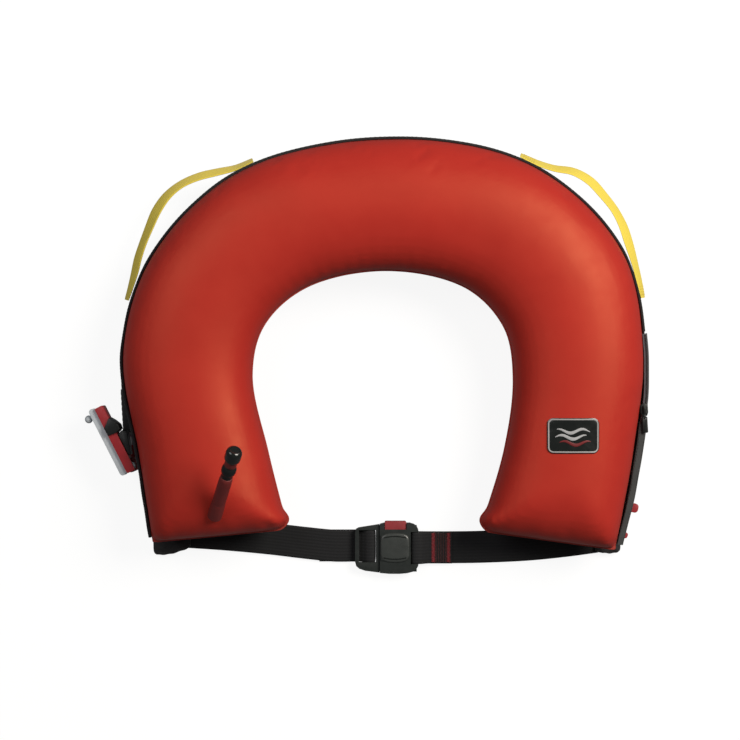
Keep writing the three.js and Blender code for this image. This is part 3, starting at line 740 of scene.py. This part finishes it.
def cover_ripple(t, degrees):
    """Soft slack folds in the opened cover, steepest towards its free top edge."""
    run = t * LEG_LENGTH
    free = smooth(degrees, -74, -5)
    slack = 0.35 + 0.65 * (smooth(0.32 - t, 0, 0.15) + smooth(t - 0.7, 0, 0.15))
    return slack * free * (0.8 * math.sin(run / 23 + 1.4 * math.sin(run / 71) + degrees / 40)
                           + 0.45 * math.sin(run / 8.7 + degrees / 17))


def add_cover_wall():
    angles = [-74 + 74 * i / 15 for i in range(16)]
    rings, uvs = [], []
    steps = 360
    for i in range(steps + 1):
        share = 0.8 * i / steps + 0.2 * smooth(i, 0, steps)
        t = COVER_ENDS[0] + (COVER_ENDS[1] - COVER_ENDS[0]) * share
        outer, inner, outward, half = station(t)
        middle = (outer + inner) / 2
        sides = []
        for grow in (0.25, 1.9):
            side = []
            for degrees in angles:
                clear = 1.9 + (EDGE_CLEAR - 1.9) * smooth(degrees, -26, -2)
                slack = wall_stand_off(t) * smooth(degrees, -44, -4)
                a, up = on_section(half + clear + grow, end_rise(t) + clear + grow, degrees)
                a += slack + 0.5 * cover_ripple(t, degrees)
                xy = middle + outward * a
                side.append(((xy[0], xy[1], BLADDER_MID + max(up, 2.4 - BLADDER_MID)),
                             (t * LEG_LENGTH * MM, degrees * 1.2 * MM)))
            sides.append(side)
        loop = sides[0] + sides[1][::-1]
        rings.append([p for p, _ in loop])
        uvs.append([u for _, u in loop])
    wall = lofted("cover_wall_fabric", place(rings), uvs, sharp=60)
    finish_piece(wall, COVER_CLOTH, nodes=["cover_wall"])


def add_cover_back():
    rings, uvs = [], []
    for i in range(161):
        t = i / 160
        outer, inner, outward, half = station(t)
        middle = (outer + inner) / 2
        low, high = -half + 20, half - 25
        section = [(low, 1.0), (low + 0.6, 0.15), (0.5 * (low + high), 0.05), (high - 0.6, 0.15),
                   (high, 1.0), (high - 0.6, 1.85), (0.5 * (low + high), 1.95), (low + 0.6, 1.85)]
        rings.append([(*(middle + outward * a), z) for a, z in section])
        uvs.append([(t * LEG_LENGTH * MM, a * MM) for a, z in section])
    back = lofted("cover_back_fabric", place(rings), uvs, sharp=60)
    finish_piece(back, COVER_CLOTH, nodes=["cover_back"])


def edge_line(start, end, shift=0.0, up=0.0):
    """A line along the top edge of the cover's wall, as a function from 0 to 1."""
    def line(w):
        t = start + (end - start) * w
        outer, inner, outward, half = station(t)
        xy = (outer + inner) / 2 + outward * (half + wall_stand_off(t) + EDGE_CLEAR + 1 + shift
                                              + 0.5 * cover_ripple(t, 0))
        return (xy[0], xy[1], BLADDER_MID + up)
    return line


def edge_across(start, end, lean=0.0):
    """The outward direction along that line, leaning down by some degrees."""
    def across(w):
        _, _, outward, _ = station(start + (end - start) * w)
        turn = math.radians(lean(w) if callable(lean) else lean)
        return (outward[0] * math.cos(turn), outward[1] * math.cos(turn), -math.sin(turn))
    return across


def stitches(name, line, across, offset, pitch, length, radius, lift, mat):
    """A row of thread stitches beside a line, each a short round bar lying on the surface."""
    total = sum(np.linalg.norm(np.array(line(i / 200)) - np.array(line((i + 1) / 200)))
                for i in range(200))
    count = max(int(total / pitch), 2)
    verts, faces, sides = [], [], 6
    for i in range(count):
        w = (i + 0.5) / count
        at = np.array(line(w))
        ahead = np.array(line(min(w + 1e-3, 1))) - np.array(line(max(w - 1e-3, 0)))
        ahead /= np.linalg.norm(ahead)
        right = np.array(across(w), float)
        right /= np.linalg.norm(right)
        up = np.cross(ahead, right)
        centre = at + right * offset + up * lift
        base = len(verts)
        stations = ((-0.5, 0.35, -0.5), (-0.3, 1, 0), (0, 1.1, 0.15), (0.3, 1, 0), (0.5, 0.35, -0.5))
        for along, size, rise in stations:
            for s in range(sides):
                angle = 2 * math.pi * s / sides
                verts.append(place(centre + ahead * along * length + up * rise * radius
                                   + (right * math.cos(angle) + up * math.sin(angle)) * radius * size))
        for r in range(len(stations) - 1):
            for s in range(sides):
                a, b = base + r * sides + s, base + r * sides + (s + 1) % sides
                faces.append((a, b, b + sides, a + sides))
        faces.append(tuple(base + s for s in range(sides)))
        faces.append(tuple(base + (len(stations) - 1) * sides + s for s in range(sides)))
    obj = tidy(new_object(name, verts, faces), merge=1e-7, sharp=60)
    return finish_piece(obj, mat)


def add_cover_trim():
    start, end = COVER_ENDS[0], ZIP_ENDS[0] - 0.002
    section = strip_section(3.2, 4.0, 2.4, 14)
    binding = swept("cover_binding_tape", edge_line(start, end, 0, 1.9), edge_across(start, end),
                    section, 420)
    finish_piece(binding, BINDING_TAPE, nodes=["cover_binding"])
    stitches("cover_binding_stitches", edge_line(start, end, 1.75, 0.6), edge_across(start, end, 90),
             0.0, 4.4, 3.2, 0.28, -0.1, BLACK_THREAD)
    zip_start, zip_end = ZIP_ENDS
    tape = swept("zip_tape_ribbed", edge_line(zip_start, zip_end, 0.6, 1.3),
                 edge_across(zip_start, zip_end, 12), strip_section(6.4, 1.2, 3, 14), 160)
    finish_piece(tape, ZIP_TAPE, nodes=["zip_coil"])
    coil_line = edge_line(zip_start + 0.001, zip_end - 0.001, 1.2, 3.0)
    turns = 76

    def coil(w):
        angle = 2 * math.pi * turns * w
        x, y, z = coil_line(w)
        return (x + 1.25 * math.cos(angle), y, z - 0.4 + 0.95 * math.sin(angle))
    teeth = swept("zip_teeth_coil", coil, lambda w: (0.3, 0.2, 1), strip_section(0.66, 0.66, 2, 6),
                  turns * 10)
    finish_piece(teeth, GREY_TAPE)
    band_start, band_end = ZIP_ENDS[1] + 0.002, COVER_ENDS[1]
    band = swept("cover_side_band_tape", edge_line(band_start, band_end, 1.2, 1.0),
                 edge_across(band_start, band_end, lambda w: 8 + 14 * w),
                 lambda w: strip_section(9.5 - 1.5 * w, 1.5, 3, 14), 120,
                 ripple=lambda w, a: 0.35 * math.sin(w * 21 + a / 5))
    finish_piece(band, GREY_TAPE, nodes=["cover_side_band"])
    for offset in (-3.2, 3.2):
        stitches(f"side_band_stitches_{'in' if offset < 0 else 'out'}",
                 edge_line(band_start, band_end, 1.2, 1.0),
                 edge_across(band_start, band_end, 14), offset, 3.6, 2.5, 0.22, 0.85, BLACK_THREAD)


def add_cover_end(name, node, side):
    """The cover's folded end: a soft, tucked fold of fabric over the belt's sewn end."""
    low, high = (np.array(v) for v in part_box(node))
    reach = 7 * MM if side < 0 else 2 * MM  # it runs on under the wall's end
    centre = (low + high) / 2 + np.array((0, reach / 2, 0))
    half = (high - low) / 2 + np.array((0, reach / 2, 0))
    bm = bmesh.new()
    bmesh.ops.create_cube(bm, size=2.0)
    bmesh.ops.subdivide_edges(bm, edges=bm.edges, cuts=19, use_grid_fill=True)
    for v in bm.verts:
        x, y, z = v.co
        round_corner = (abs(x) * abs(y)) ** 5
        wavy = 1 + 0.03 * math.sin(5 * x + 1) + 0.02 * math.sin(11 * x)
        px = centre[0] + half[0] * x * (1 - 0.13 * round_corner)
        py = centre[1] + half[1] * y * (1 - 0.13 * round_corner) * (wavy if y < 0 else 1)
        if side < 0 and y < 0:  # the left fold tapers into the belt
            py = centre[1] + (py - centre[1]) * (1 - 0.34 * smooth(x, -0.7, 1.0))
        edge = max(abs(x), abs(y)) ** 5
        crown = (4.5 if side < 0 else 1.8) * (1 - edge) * (0.7 + 0.3 * side * x)
        tuck = 0.9 * math.sin(6.1 * x + 2.8 * y) + 0.6 * math.sin(9.3 * y - 3.1 * x - 1.2)
        top = 5.4 * (1 - 0.35 * edge) + crown + tuck * (1 - 0.6 * edge)
        v.co = (px, py, low[2] + MM * max(top * (0.5 + 0.5 * z), 0.1))
    obj = from_bmesh(name, bm)
    add_subdivision(obj, 1)
    finish_piece(obj, COVER_CLOTH_SOLID, nodes=[node])


def add_subdivision(obj, levels):
    modifier = obj.modifiers.new("subdivision", "SUBSURF")
    modifier.levels = levels
    modifier.render_levels = levels


COVER_CLOTH_SOLID = cloth_material("cover_cloth_folded", (0.014, 0.0135, 0.015), 0.78, 0.0009,
                                   0.00016, by_uv=False, vary=0.25, sheen=0.35, crease=0.0009)


# ---------------------------------------------------------------- belt
def through(points):
    return lambda w: spline(points, w)


def across_y(_):
    return (0, -1, 0)


def add_belt_left():
    y, bend = -209, -10
    route = [(-262, -191, BELT_LEVEL), (-228, -193, BELT_LEVEL), (-190, -195.6, BELT_LEVEL),
             (-140, -200.3, BELT_LEVEL), (-95, -205.6, BELT_LEVEL), (-60, y, BELT_LEVEL),
             (-36, y, BELT_LEVEL), (-28, y, BELT_LEVEL), (-23.5, y, 6.6), (-19.5, y, 10),
             (-15, y, 11), (bend - 1.2, y, 9.8), (bend, y, 6), (bend - 1.2, y, 2.2),
             (-15, y, 1.25), (-30, y, 1.2), (-78, y, 1.2)]
    route = [(px, py + BELT_DROP, pz) for px, py, pz in route]
    belt = swept("belt_left_webbing", through(route), across_y, strip_section(BELT_LOOK, WEBBING), 330,
                 ripple=lambda w, a: 0.25 * math.sin(w * 40) * (a / 19) if w < 0.3 else 0.0)
    finish_piece(belt, BELT_WEBBING, None, ["belt_left"])
    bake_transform(belt)


def add_belt_right():
    y = -211
    route = [(262, -198, BELT_LEVEL), (225, -203, BELT_LEVEL), (180, -207.6, BELT_LEVEL),
             (120, -210.4, BELT_LEVEL), (80, y, BELT_LEVEL), (52, y, BELT_LEVEL), (43, y, 2.6),
             (38, y, 2.6), (35.2, y, 5), (35.2, y, 10.6), (37.4, y, 13.2), (42, y, 13.5),
             (46, y, 12.3), (51, y, 8.2), (55, y, 6), (62, y, 5.6), (84, y, 5.6)]
    route = [(px, py + BELT_DROP, pz) for px, py, pz in route]
    belt = swept("belt_right_webbing", through(route), across_y, strip_section(BELT_LOOK, WEBBING), 330,
                 ripple=lambda w, a: 0.25 * math.sin(w * 44) * (a / 19) if w < 0.3 else 0.0)
    finish_piece(belt, BELT_WEBBING, "root", ["belt_right"])
    y, top = y + BELT_DROP, 5.6 + WEBBING / 2
    for x, name in ((61.0, "a"), (79.6, "b")):
        add_bar_tack(f"belt_bar_tack_{name}", x, y, top, 4.6, RED_THREAD)
    for i in range(5):
        add_bar_tack(f"belt_fill_stitch_{i}", 64.4 + 2.95 * i, y, top - 0.1, 1.6, DARK_RED_THREAD)


def add_bar_tack(name, x, y, z, width, mat):
    """A dense zigzag of thread across the belt."""
    count, half = 46, BELT_WIDTH / 2 - 1.2

    def zigzag(w):
        at = w * count
        swing = abs((at % 2) - 1) * 2 - 1
        return (x + swing * width / 2, y - half + 2 * half * w, z + 0.16 + 0.1 * (1 - swing ** 2))
    tack = swept(name, zigzag, lambda w: (0, 0, 1), strip_section(0.62, 0.62, 2, 6), count * 6)
    finish_piece(tack, mat)


# ---------------------------------------------------------------- buckle
def add_buckle():
    finish_piece(softened("buckle_housing_shell", "buckle_housing", 1.6, 4), BUCKLE_PLASTIC,
                 nodes=["buckle_housing"])
    finish_piece(softened("buckle_tongue_shell", "buckle_tongue", 0.9, 3), BUCKLE_PLASTIC, "belt_tongue",
                 ["buckle_tongue"])
    finish_piece(softened("release_button_cap", "release_button", 0.6, 3), BUTTON_PLASTIC, "button",
                 ["release_button"])
    add_buckle_panel()
    # Painted shade: dark plates under the buckle's slots stand for the shadow below them, where the bright
    # floor would show through.
    for name, left, right in (("left", -9.0, -3.0), ("right", 33.0, 41.0)):
        corners = [(left, -241), (right, -241), (right, -184), (left, -184)]
        shade_plate = [[(x, y + BELT_DROP, z) for x, y in corners] for z in (0.2, 1.1)]
        finish_piece(lofted(f"buckle_shade_plate_{name}", place(shade_plate), sharp=30), BUCKLE_PLASTIC)
    plate_spring("button_spring")


def add_buckle_panel():
    """The housing's raised panel: a dome with bowed ends, in a paler grey that is partly painted sheen,
    edged by black strips that are painted shade.
    """
    left, right, foot, top = -2.9, 31.3, -226.9, -193.9
    middle = np.array(((left + right) / 2, (foot + top) / 2 + BELT_DROP))
    outline = []
    for i in range(64):
        angle = 2 * math.pi * i / 64
        u, v = signed_power(math.cos(angle), 0.42), signed_power(math.sin(angle), 0.42)
        outline.append((u * (right - left) / 2, v * ((top - foot) / 2 + 1.6 * (1 - u * u) - 0.8)))
    levels = [(1.035, 14.6), (1.03, 15.7), (1.0, 16.55), (0.93, 16.9), (0.8, 17.2), (0.6, 17.45),
              (0.38, 17.6), (0.16, 17.65), (0.02, 17.65)]
    rings = [[(middle[0] + u * k, middle[1] + v * k, z) for u, v in outline] for k, z in levels]
    finish_piece(lofted("buckle_panel", place(rings), sharp=50), PANEL_GREY_AND_SHEEN)
    # Painted shade: black strips along the panel's bowed ends stand for the shadow in the gap round it.
    for name, sign in (("top", 1), ("foot", -1)):
        def arc(w, sign=sign):
            u = -13.6 + 27.2 * w
            v = sign * ((top - foot) / 2 - 4.4 + 1.7 * (1 - (u / 13.6) ** 2))
            return (middle[0] + u, middle[1] + v, 17.05 + 0.3 * (1 - (u / 15) ** 2))
        shade_strip = swept(f"buckle_shade_strip_{name}", arc, lambda w: (0, 1, 0),
                       strip_section(1.5, 0.5, 2.4, 10), 60)
        finish_piece(shade_strip, GLOSS_PLASTIC)


# ---------------------------------------------------------------- handles
HANDLES = {"handle_left": (0.412, 0.25, [8.2, 9, 15.8, 24.5, 30.8, 32.6, 29.9, 24.5, 19.8, 15.8,
                                         11.8, 9.8, 9.4]),
           "handle_right": (0.59, 0.752, [8.2, 8.4, 13, 23, 27, 25.6, 23.8, 19.9, 14.8, 11.6,
                                          9.6, 8.8, 9])}
HANDLE_LEVEL, HANDLE_WIDTH = 46.0, 20.0


def handle_line(name):
    start, end, stand_offs = HANDLES[name]
    points = []
    for i, stand_off in enumerate(stand_offs):
        outer, _, outward, _ = station(start + (end - start) * i / (len(stand_offs) - 1))
        points.append((*(outer + outward * stand_off), HANDLE_LEVEL))
    return through(points)


def handle_across(line):
    def across(w):
        a, b = np.array(line(max(w - 1e-3, 0))), np.array(line(min(w + 1e-3, 1)))
        outward = np.cross(b - a, (0, 0, 1))
        outward /= np.linalg.norm(outward)
        if outward @ np.array(line(w)) < 0:
            outward = -outward
        lean = math.radians(20 + 18 * max(math.sin(math.pi * w), 0) ** 0.8)
        return np.array((0, 0, 1)) * math.cos(lean) - outward * math.sin(lean)
    return across


def add_handle(name):
    line = handle_line(name)
    across = handle_across(line)
    webbing = swept(name + "_webbing", line, across, strip_section(HANDLE_WIDTH, 2.0), 200,
                    ripple=lambda w, a: 0.5 * math.sin(w * 19 + a / 7) * math.sin(math.pi * w))
    finish_piece(webbing, YELLOW_WEBBING, nodes=[name])
    for label, low, high in (("crown", 0.012, 0.075), ("leg", 0.925, 0.988)):
        part = lambda w, low=low, high=high: line(low + (high - low) * w)
        over = lambda w, low=low, high=high: across(low + (high - low) * w)
        for offset in (-7.6, -2.6, 2.6, 7.6):
            tag = f"{label}_{'m' if offset < 0 else 'p'}{abs(offset):.0f}"
            stitches(f"{name}_stitches_{tag}", part, over, offset, 2.6, 1.9, 0.24, -1.05,
                     YELLOW_THREAD)


# ---------------------------------------------------------------- badge
BADGE = {"t": 0.882, "shift": -4.0, "width": 60.0, "length": 41.0, "corner": 7.0}


def badge_point(u, v, lift):
    """A point of the badge, u across the leg and v along it, a little over the bladder's skin."""
    outer, inner, outward, _ = station(BADGE["t"])
    along = np.array((-outward[1], outward[0]))
    xy = (outer + inner) / 2 + outward * (u + BADGE["shift"]) + along * v
    x, y, _ = place((xy[0], xy[1], 0))
    hit = bladder_surface.ray_cast(Vector((x, y, 1)), Vector((0, 0, -1)))[0]
    return (xy[0], xy[1], hit.z / MM + 0.7 + lift)


def rounded_outline(width, length, corner, steps=10):
    points = []
    for cx, cy, start in ((1, 1, 0), (-1, 1, 90), (-1, -1, 180), (1, -1, 270)):
        for i in range(steps + 1):
            angle = math.radians(start + 90 * i / steps)
            points.append((cx * (width / 2 - corner) + corner * math.cos(angle),
                           cy * (length / 2 - corner) + corner * math.sin(angle)))
    dense = []
    for a, b in zip(points, points[1:] + points[:1]):
        parts = max(int(math.dist(a, b) / 3), 1)
        dense += [(a[0] + (b[0] - a[0]) * k / parts, a[1] + (b[1] - a[1]) * k / parts)
                  for k in range(parts)]
    return dense


def add_badge():
    outline = rounded_outline(BADGE["width"], BADGE["length"], BADGE["corner"])
    scales = [1.0, 0.97, 0.85, 0.68, 0.5, 0.32, 0.15, 0.02]
    top = [[badge_point(u * k, v * k, 0.7 if k < 1 else 0.45) for u, v in outline] for k in scales]
    skirt = [[badge_point(u, v, -0.5) for u, v in outline]]
    rings = skirt + top
    plate = lofted("badge_plate", place(rings), sharp=50)
    finish_piece(plate, GLOSS_PLASTIC, nodes=["badge_patch"])
    rim_line = rounded_outline(BADGE["width"] - 3.2, BADGE["length"] - 3.2, BADGE["corner"] - 1.6, 14)

    def rim(w):
        at = (w % 1.0) * len(rim_line)
        i, part = int(at) % len(rim_line), at - int(at)
        a, b = rim_line[i], rim_line[(i + 1) % len(rim_line)]
        return badge_point(a[0] + (b[0] - a[0]) * part, a[1] + (b[1] - a[1]) * part, 0.78)
    edge = swept("badge_rim", rim, lambda w: badge_across(rim, w), strip_section(1.7, 0.7, 2.6, 10), 160,
                 closed=True)
    finish_piece(edge, RIM_PALE)
    for i, (rise, low, high, mat) in enumerate(((5.5, -19, 19, EMBLEM_GREY), (-1.5, -21, 15, EMBLEM_GREY),
                                                (-8.5, -16, 20, EMBLEM_RED))):
        def ripple_line(w, rise=rise, low=low, high=high):
            u = low + (high - low) * w
            return badge_point(u, rise + 2.3 * math.sin(u / 4.4 + rise), 0.86)
        band = swept(f"badge_wave_{i}", ripple_line, lambda w: (0.05, 1, 0),
                     lambda w: strip_section(0.6 + 3.2 * math.sin(math.pi * min(max(w, 0.02), 0.98)) ** 0.7,
                                             0.5, 2.4, 10), 80)
        finish_piece(band, mat)


def badge_across(line, w):
    a, b = np.array(line(w - 1e-3)), np.array(line(w + 1e-3))
    return np.cross(b - a, (0, 0, 1))


# ---------------------------------------------------------------- oral tube
ORAL_BASE = (-195.0, -164.0, 106.0)
ORAL_TIP = (-168.5, -92.5, 177.0)
ORAL_AXIS = tuple(np.array(ORAL_TIP) - np.array(ORAL_BASE))


def add_oral_tube():
    def piece(name, profile, mat, nodes=(), body="root", sharp=35):
        obj = turned(name, profile, ORAL_BASE, ORAL_AXIS, 48, sharp)
        return finish_piece(obj, mat, body, nodes)
    piece("oral_boss", [(0.02, -9), (8.6, -9), (8.7, 2), (8.5, 8), (8.3, 12.5), (8.1, 15.2), (7.9, 16.1),
                        (0.02, 16.1)], HOSE_RUBBER, ["oral_tube_base"])
    hose = [(3.6, 16.0), (7.8, 16.0)]
    for i in range(24):
        height = 16.8 + 34.6 * i / 23
        hose.append((7.85 + 0.08 * math.sin(i * 2.1), height))
    hose += [(7.7, 56.0), (7.2, 61.5), (6.7, 62.0), (3.6, 62.0), (3.6, 16.0)]
    piece("oral_hose", hose, HOSE_RUBBER, ["oral_tube"], sharp=50)
    piece("oral_valve_body", [(3.6, 62.2), (6.4, 62.2), (6.5, 66.0), (6.9, 68.6), (8.1, 70.4), (8.6, 73),
                              (8.4, 77), (7.6, 79.4), (6.4, 81), (5.6, 82), (5.3, 83), (5.3, 86.2),
                              (4.6, 86.4), (4.6, 74), (2.4, 74), (2.4, 70), (3.6, 70), (3.6, 62.2)],
          BLACK_PLASTIC, ["valve_body"])
    piece("cap_retainer_ring", [(5.6, 82.2), (6.9, 82.2), (7.1, 82.8), (7.1, 91.0), (6.9, 91.6),
                                (5.6, 91.6), (5.6, 82.2)], HOSE_RUBBER, ["cap_retainer"])
    piece("valve_poppet_stem", [(0.02, 68.5), (2.2, 68.5), (2.3, 69.2), (2.2, 69.7), (1.2, 69.9),
                                (1.2, 81.6), (3.0, 82.0), (3.2, 82.8), (2.9, 83.4), (0.02, 83.4)],
          GREY_PLASTIC, ["valve_poppet"], "mouth_valve")
    cap = [(0.02, 94.6), (6.0, 94.6), (6.0, 92.2), (8.4, 92.2), (9.0, 92.8)]
    for i in range(7):
        cap.append((9.2 + 0.2 * (i % 2), 93.8 + 1.25 * i))
    cap += [(9.4, 102.4), (9.1, 104.4), (8.2, 106.4), (7.0, 107.7), (5.8, 108.2), (5.5, 107.6),
            (3.8, 107.2), (0.02, 107.2)]
    piece("dust_cap_shell", cap, GLOSS_PLASTIC, ["dust_cap"], "mouth_cap", 40)
    plate_spring("valve_spring")


# ---------------------------------------------------------------- inflator
INFLATOR_FOOT, INFLATOR_TILT, CYLINDER_TILT = (-306.0, -117.0), 27.0, 3.4
SHAFT, CYLINDER_LEVEL = (5.0, 0.0), 13.0


def inflator_point(x, y, z):
    turn = math.radians(INFLATOR_TILT)
    return (INFLATOR_FOOT[0] + x * math.cos(turn) - y * math.sin(turn),
            INFLATOR_FOOT[1] + x * math.sin(turn) + y * math.cos(turn), z)


def add_inflator():
    for name, node_name, mat, body, slot, width in (
            ("inflator_body_shell", "inflator_body", RED_PLASTIC, "root", "red_plastic", 0.7),
            ("pull_lever_shell", "pull_lever", GREY_PLASTIC, "lever", "grey_plastic", 0.7),
            ("lever_shaft_turned", "lever_shaft", ZINC, "lever", "steel", 0.3),
            ("firing_pin_turned", "firing_pin", ZINC, "piercing_pin", "steel", 0.1),
            ("inflator_clamp_band", "inflator_clamp", BLACK_PLASTIC, "root", "black_plastic", 0.6),
            ("manifold_boss_block", "manifold_boss", BLACK_PLASTIC, "root", "black_plastic", 0.8)):
        finish_piece(softened(name, node_name, width, 2), mat, body, [node_name])
    tilt = math.radians(CYLINDER_TILT)
    axis = (-math.sin(tilt), math.cos(tilt), 0)
    origin = inflator_point(*SHAFT, CYLINDER_LEVEL)
    shoulder = [(5.6 + 5.4 * (1 - math.cos(math.pi * i / 12)) / 2, 25 + 12 * i / 12) for i in range(13)]
    foot = [(11 * math.cos(math.pi / 16 * i), 98 + 10.6 * math.sin(math.pi / 16 * i)) for i in range(9)]
    foot[-1] = (0.02, foot[-1][1])
    bottle = turned("gas_cylinder_shell", [(0.02, 15.6), (1.4, 15.6), (1.4, 14.4), (5.4, 14.4), (5.6, 14.8)]
                    + shoulder + foot, origin, axis, 48)
    finish_piece(bottle, ZINC, "gas_bottle", ["co2_cylinder"])
    sleeve = [(11.4, 40.0), (12.2, 40.2)]
    for i in range(30):
        sleeve.append((12.1 + 0.2 * math.sin(i * 1.7), 41 + 50 * i / 29))
    sleeve += [(12.2, 91.8), (11.4, 92.0), (11.4, 40.0)]
    finish_piece(turned("cylinder_sleeve_fabric", sleeve, origin, axis, 48, 60), COVER_CLOTH_SOLID,
                 nodes=["cylinder_sleeve"])


# ---------------------------------------------------------------- zip slider and tabs
def add_small_parts():
    finish_piece(softened("zip_slider_cast", "zip_slider", 0.35, 2), BLACK_PLASTIC, "zip_runner",
                 ["zip_slider"])
    finish_piece(softened("zip_pull_tab", "zip_pull", 0.3, 2), BLACK_PLASTIC, "zip_tab", ["zip_pull"])
    for name in ("fixing_tab_upper", "fixing_tab_lower"):
        tab = softened(name + "_soft", name, 0.6, 3)
        finish_piece(tab, RED_PLASTIC, nodes=[name])


add_camera()
add_studio()
bladder_surface = add_bladder()
add_weld()
add_cover_back()
add_cover_wall()
add_cover_trim()
add_cover_end("cover_end_left_fold", "cover_end_left", -1)
add_cover_end("cover_end_right_fold", "cover_end_right", 1)
add_belt_left()
add_belt_right()
add_buckle()
for handle_name in HANDLES:
    add_handle(handle_name)
add_badge()
add_oral_tube()
add_inflator()
add_small_parts()
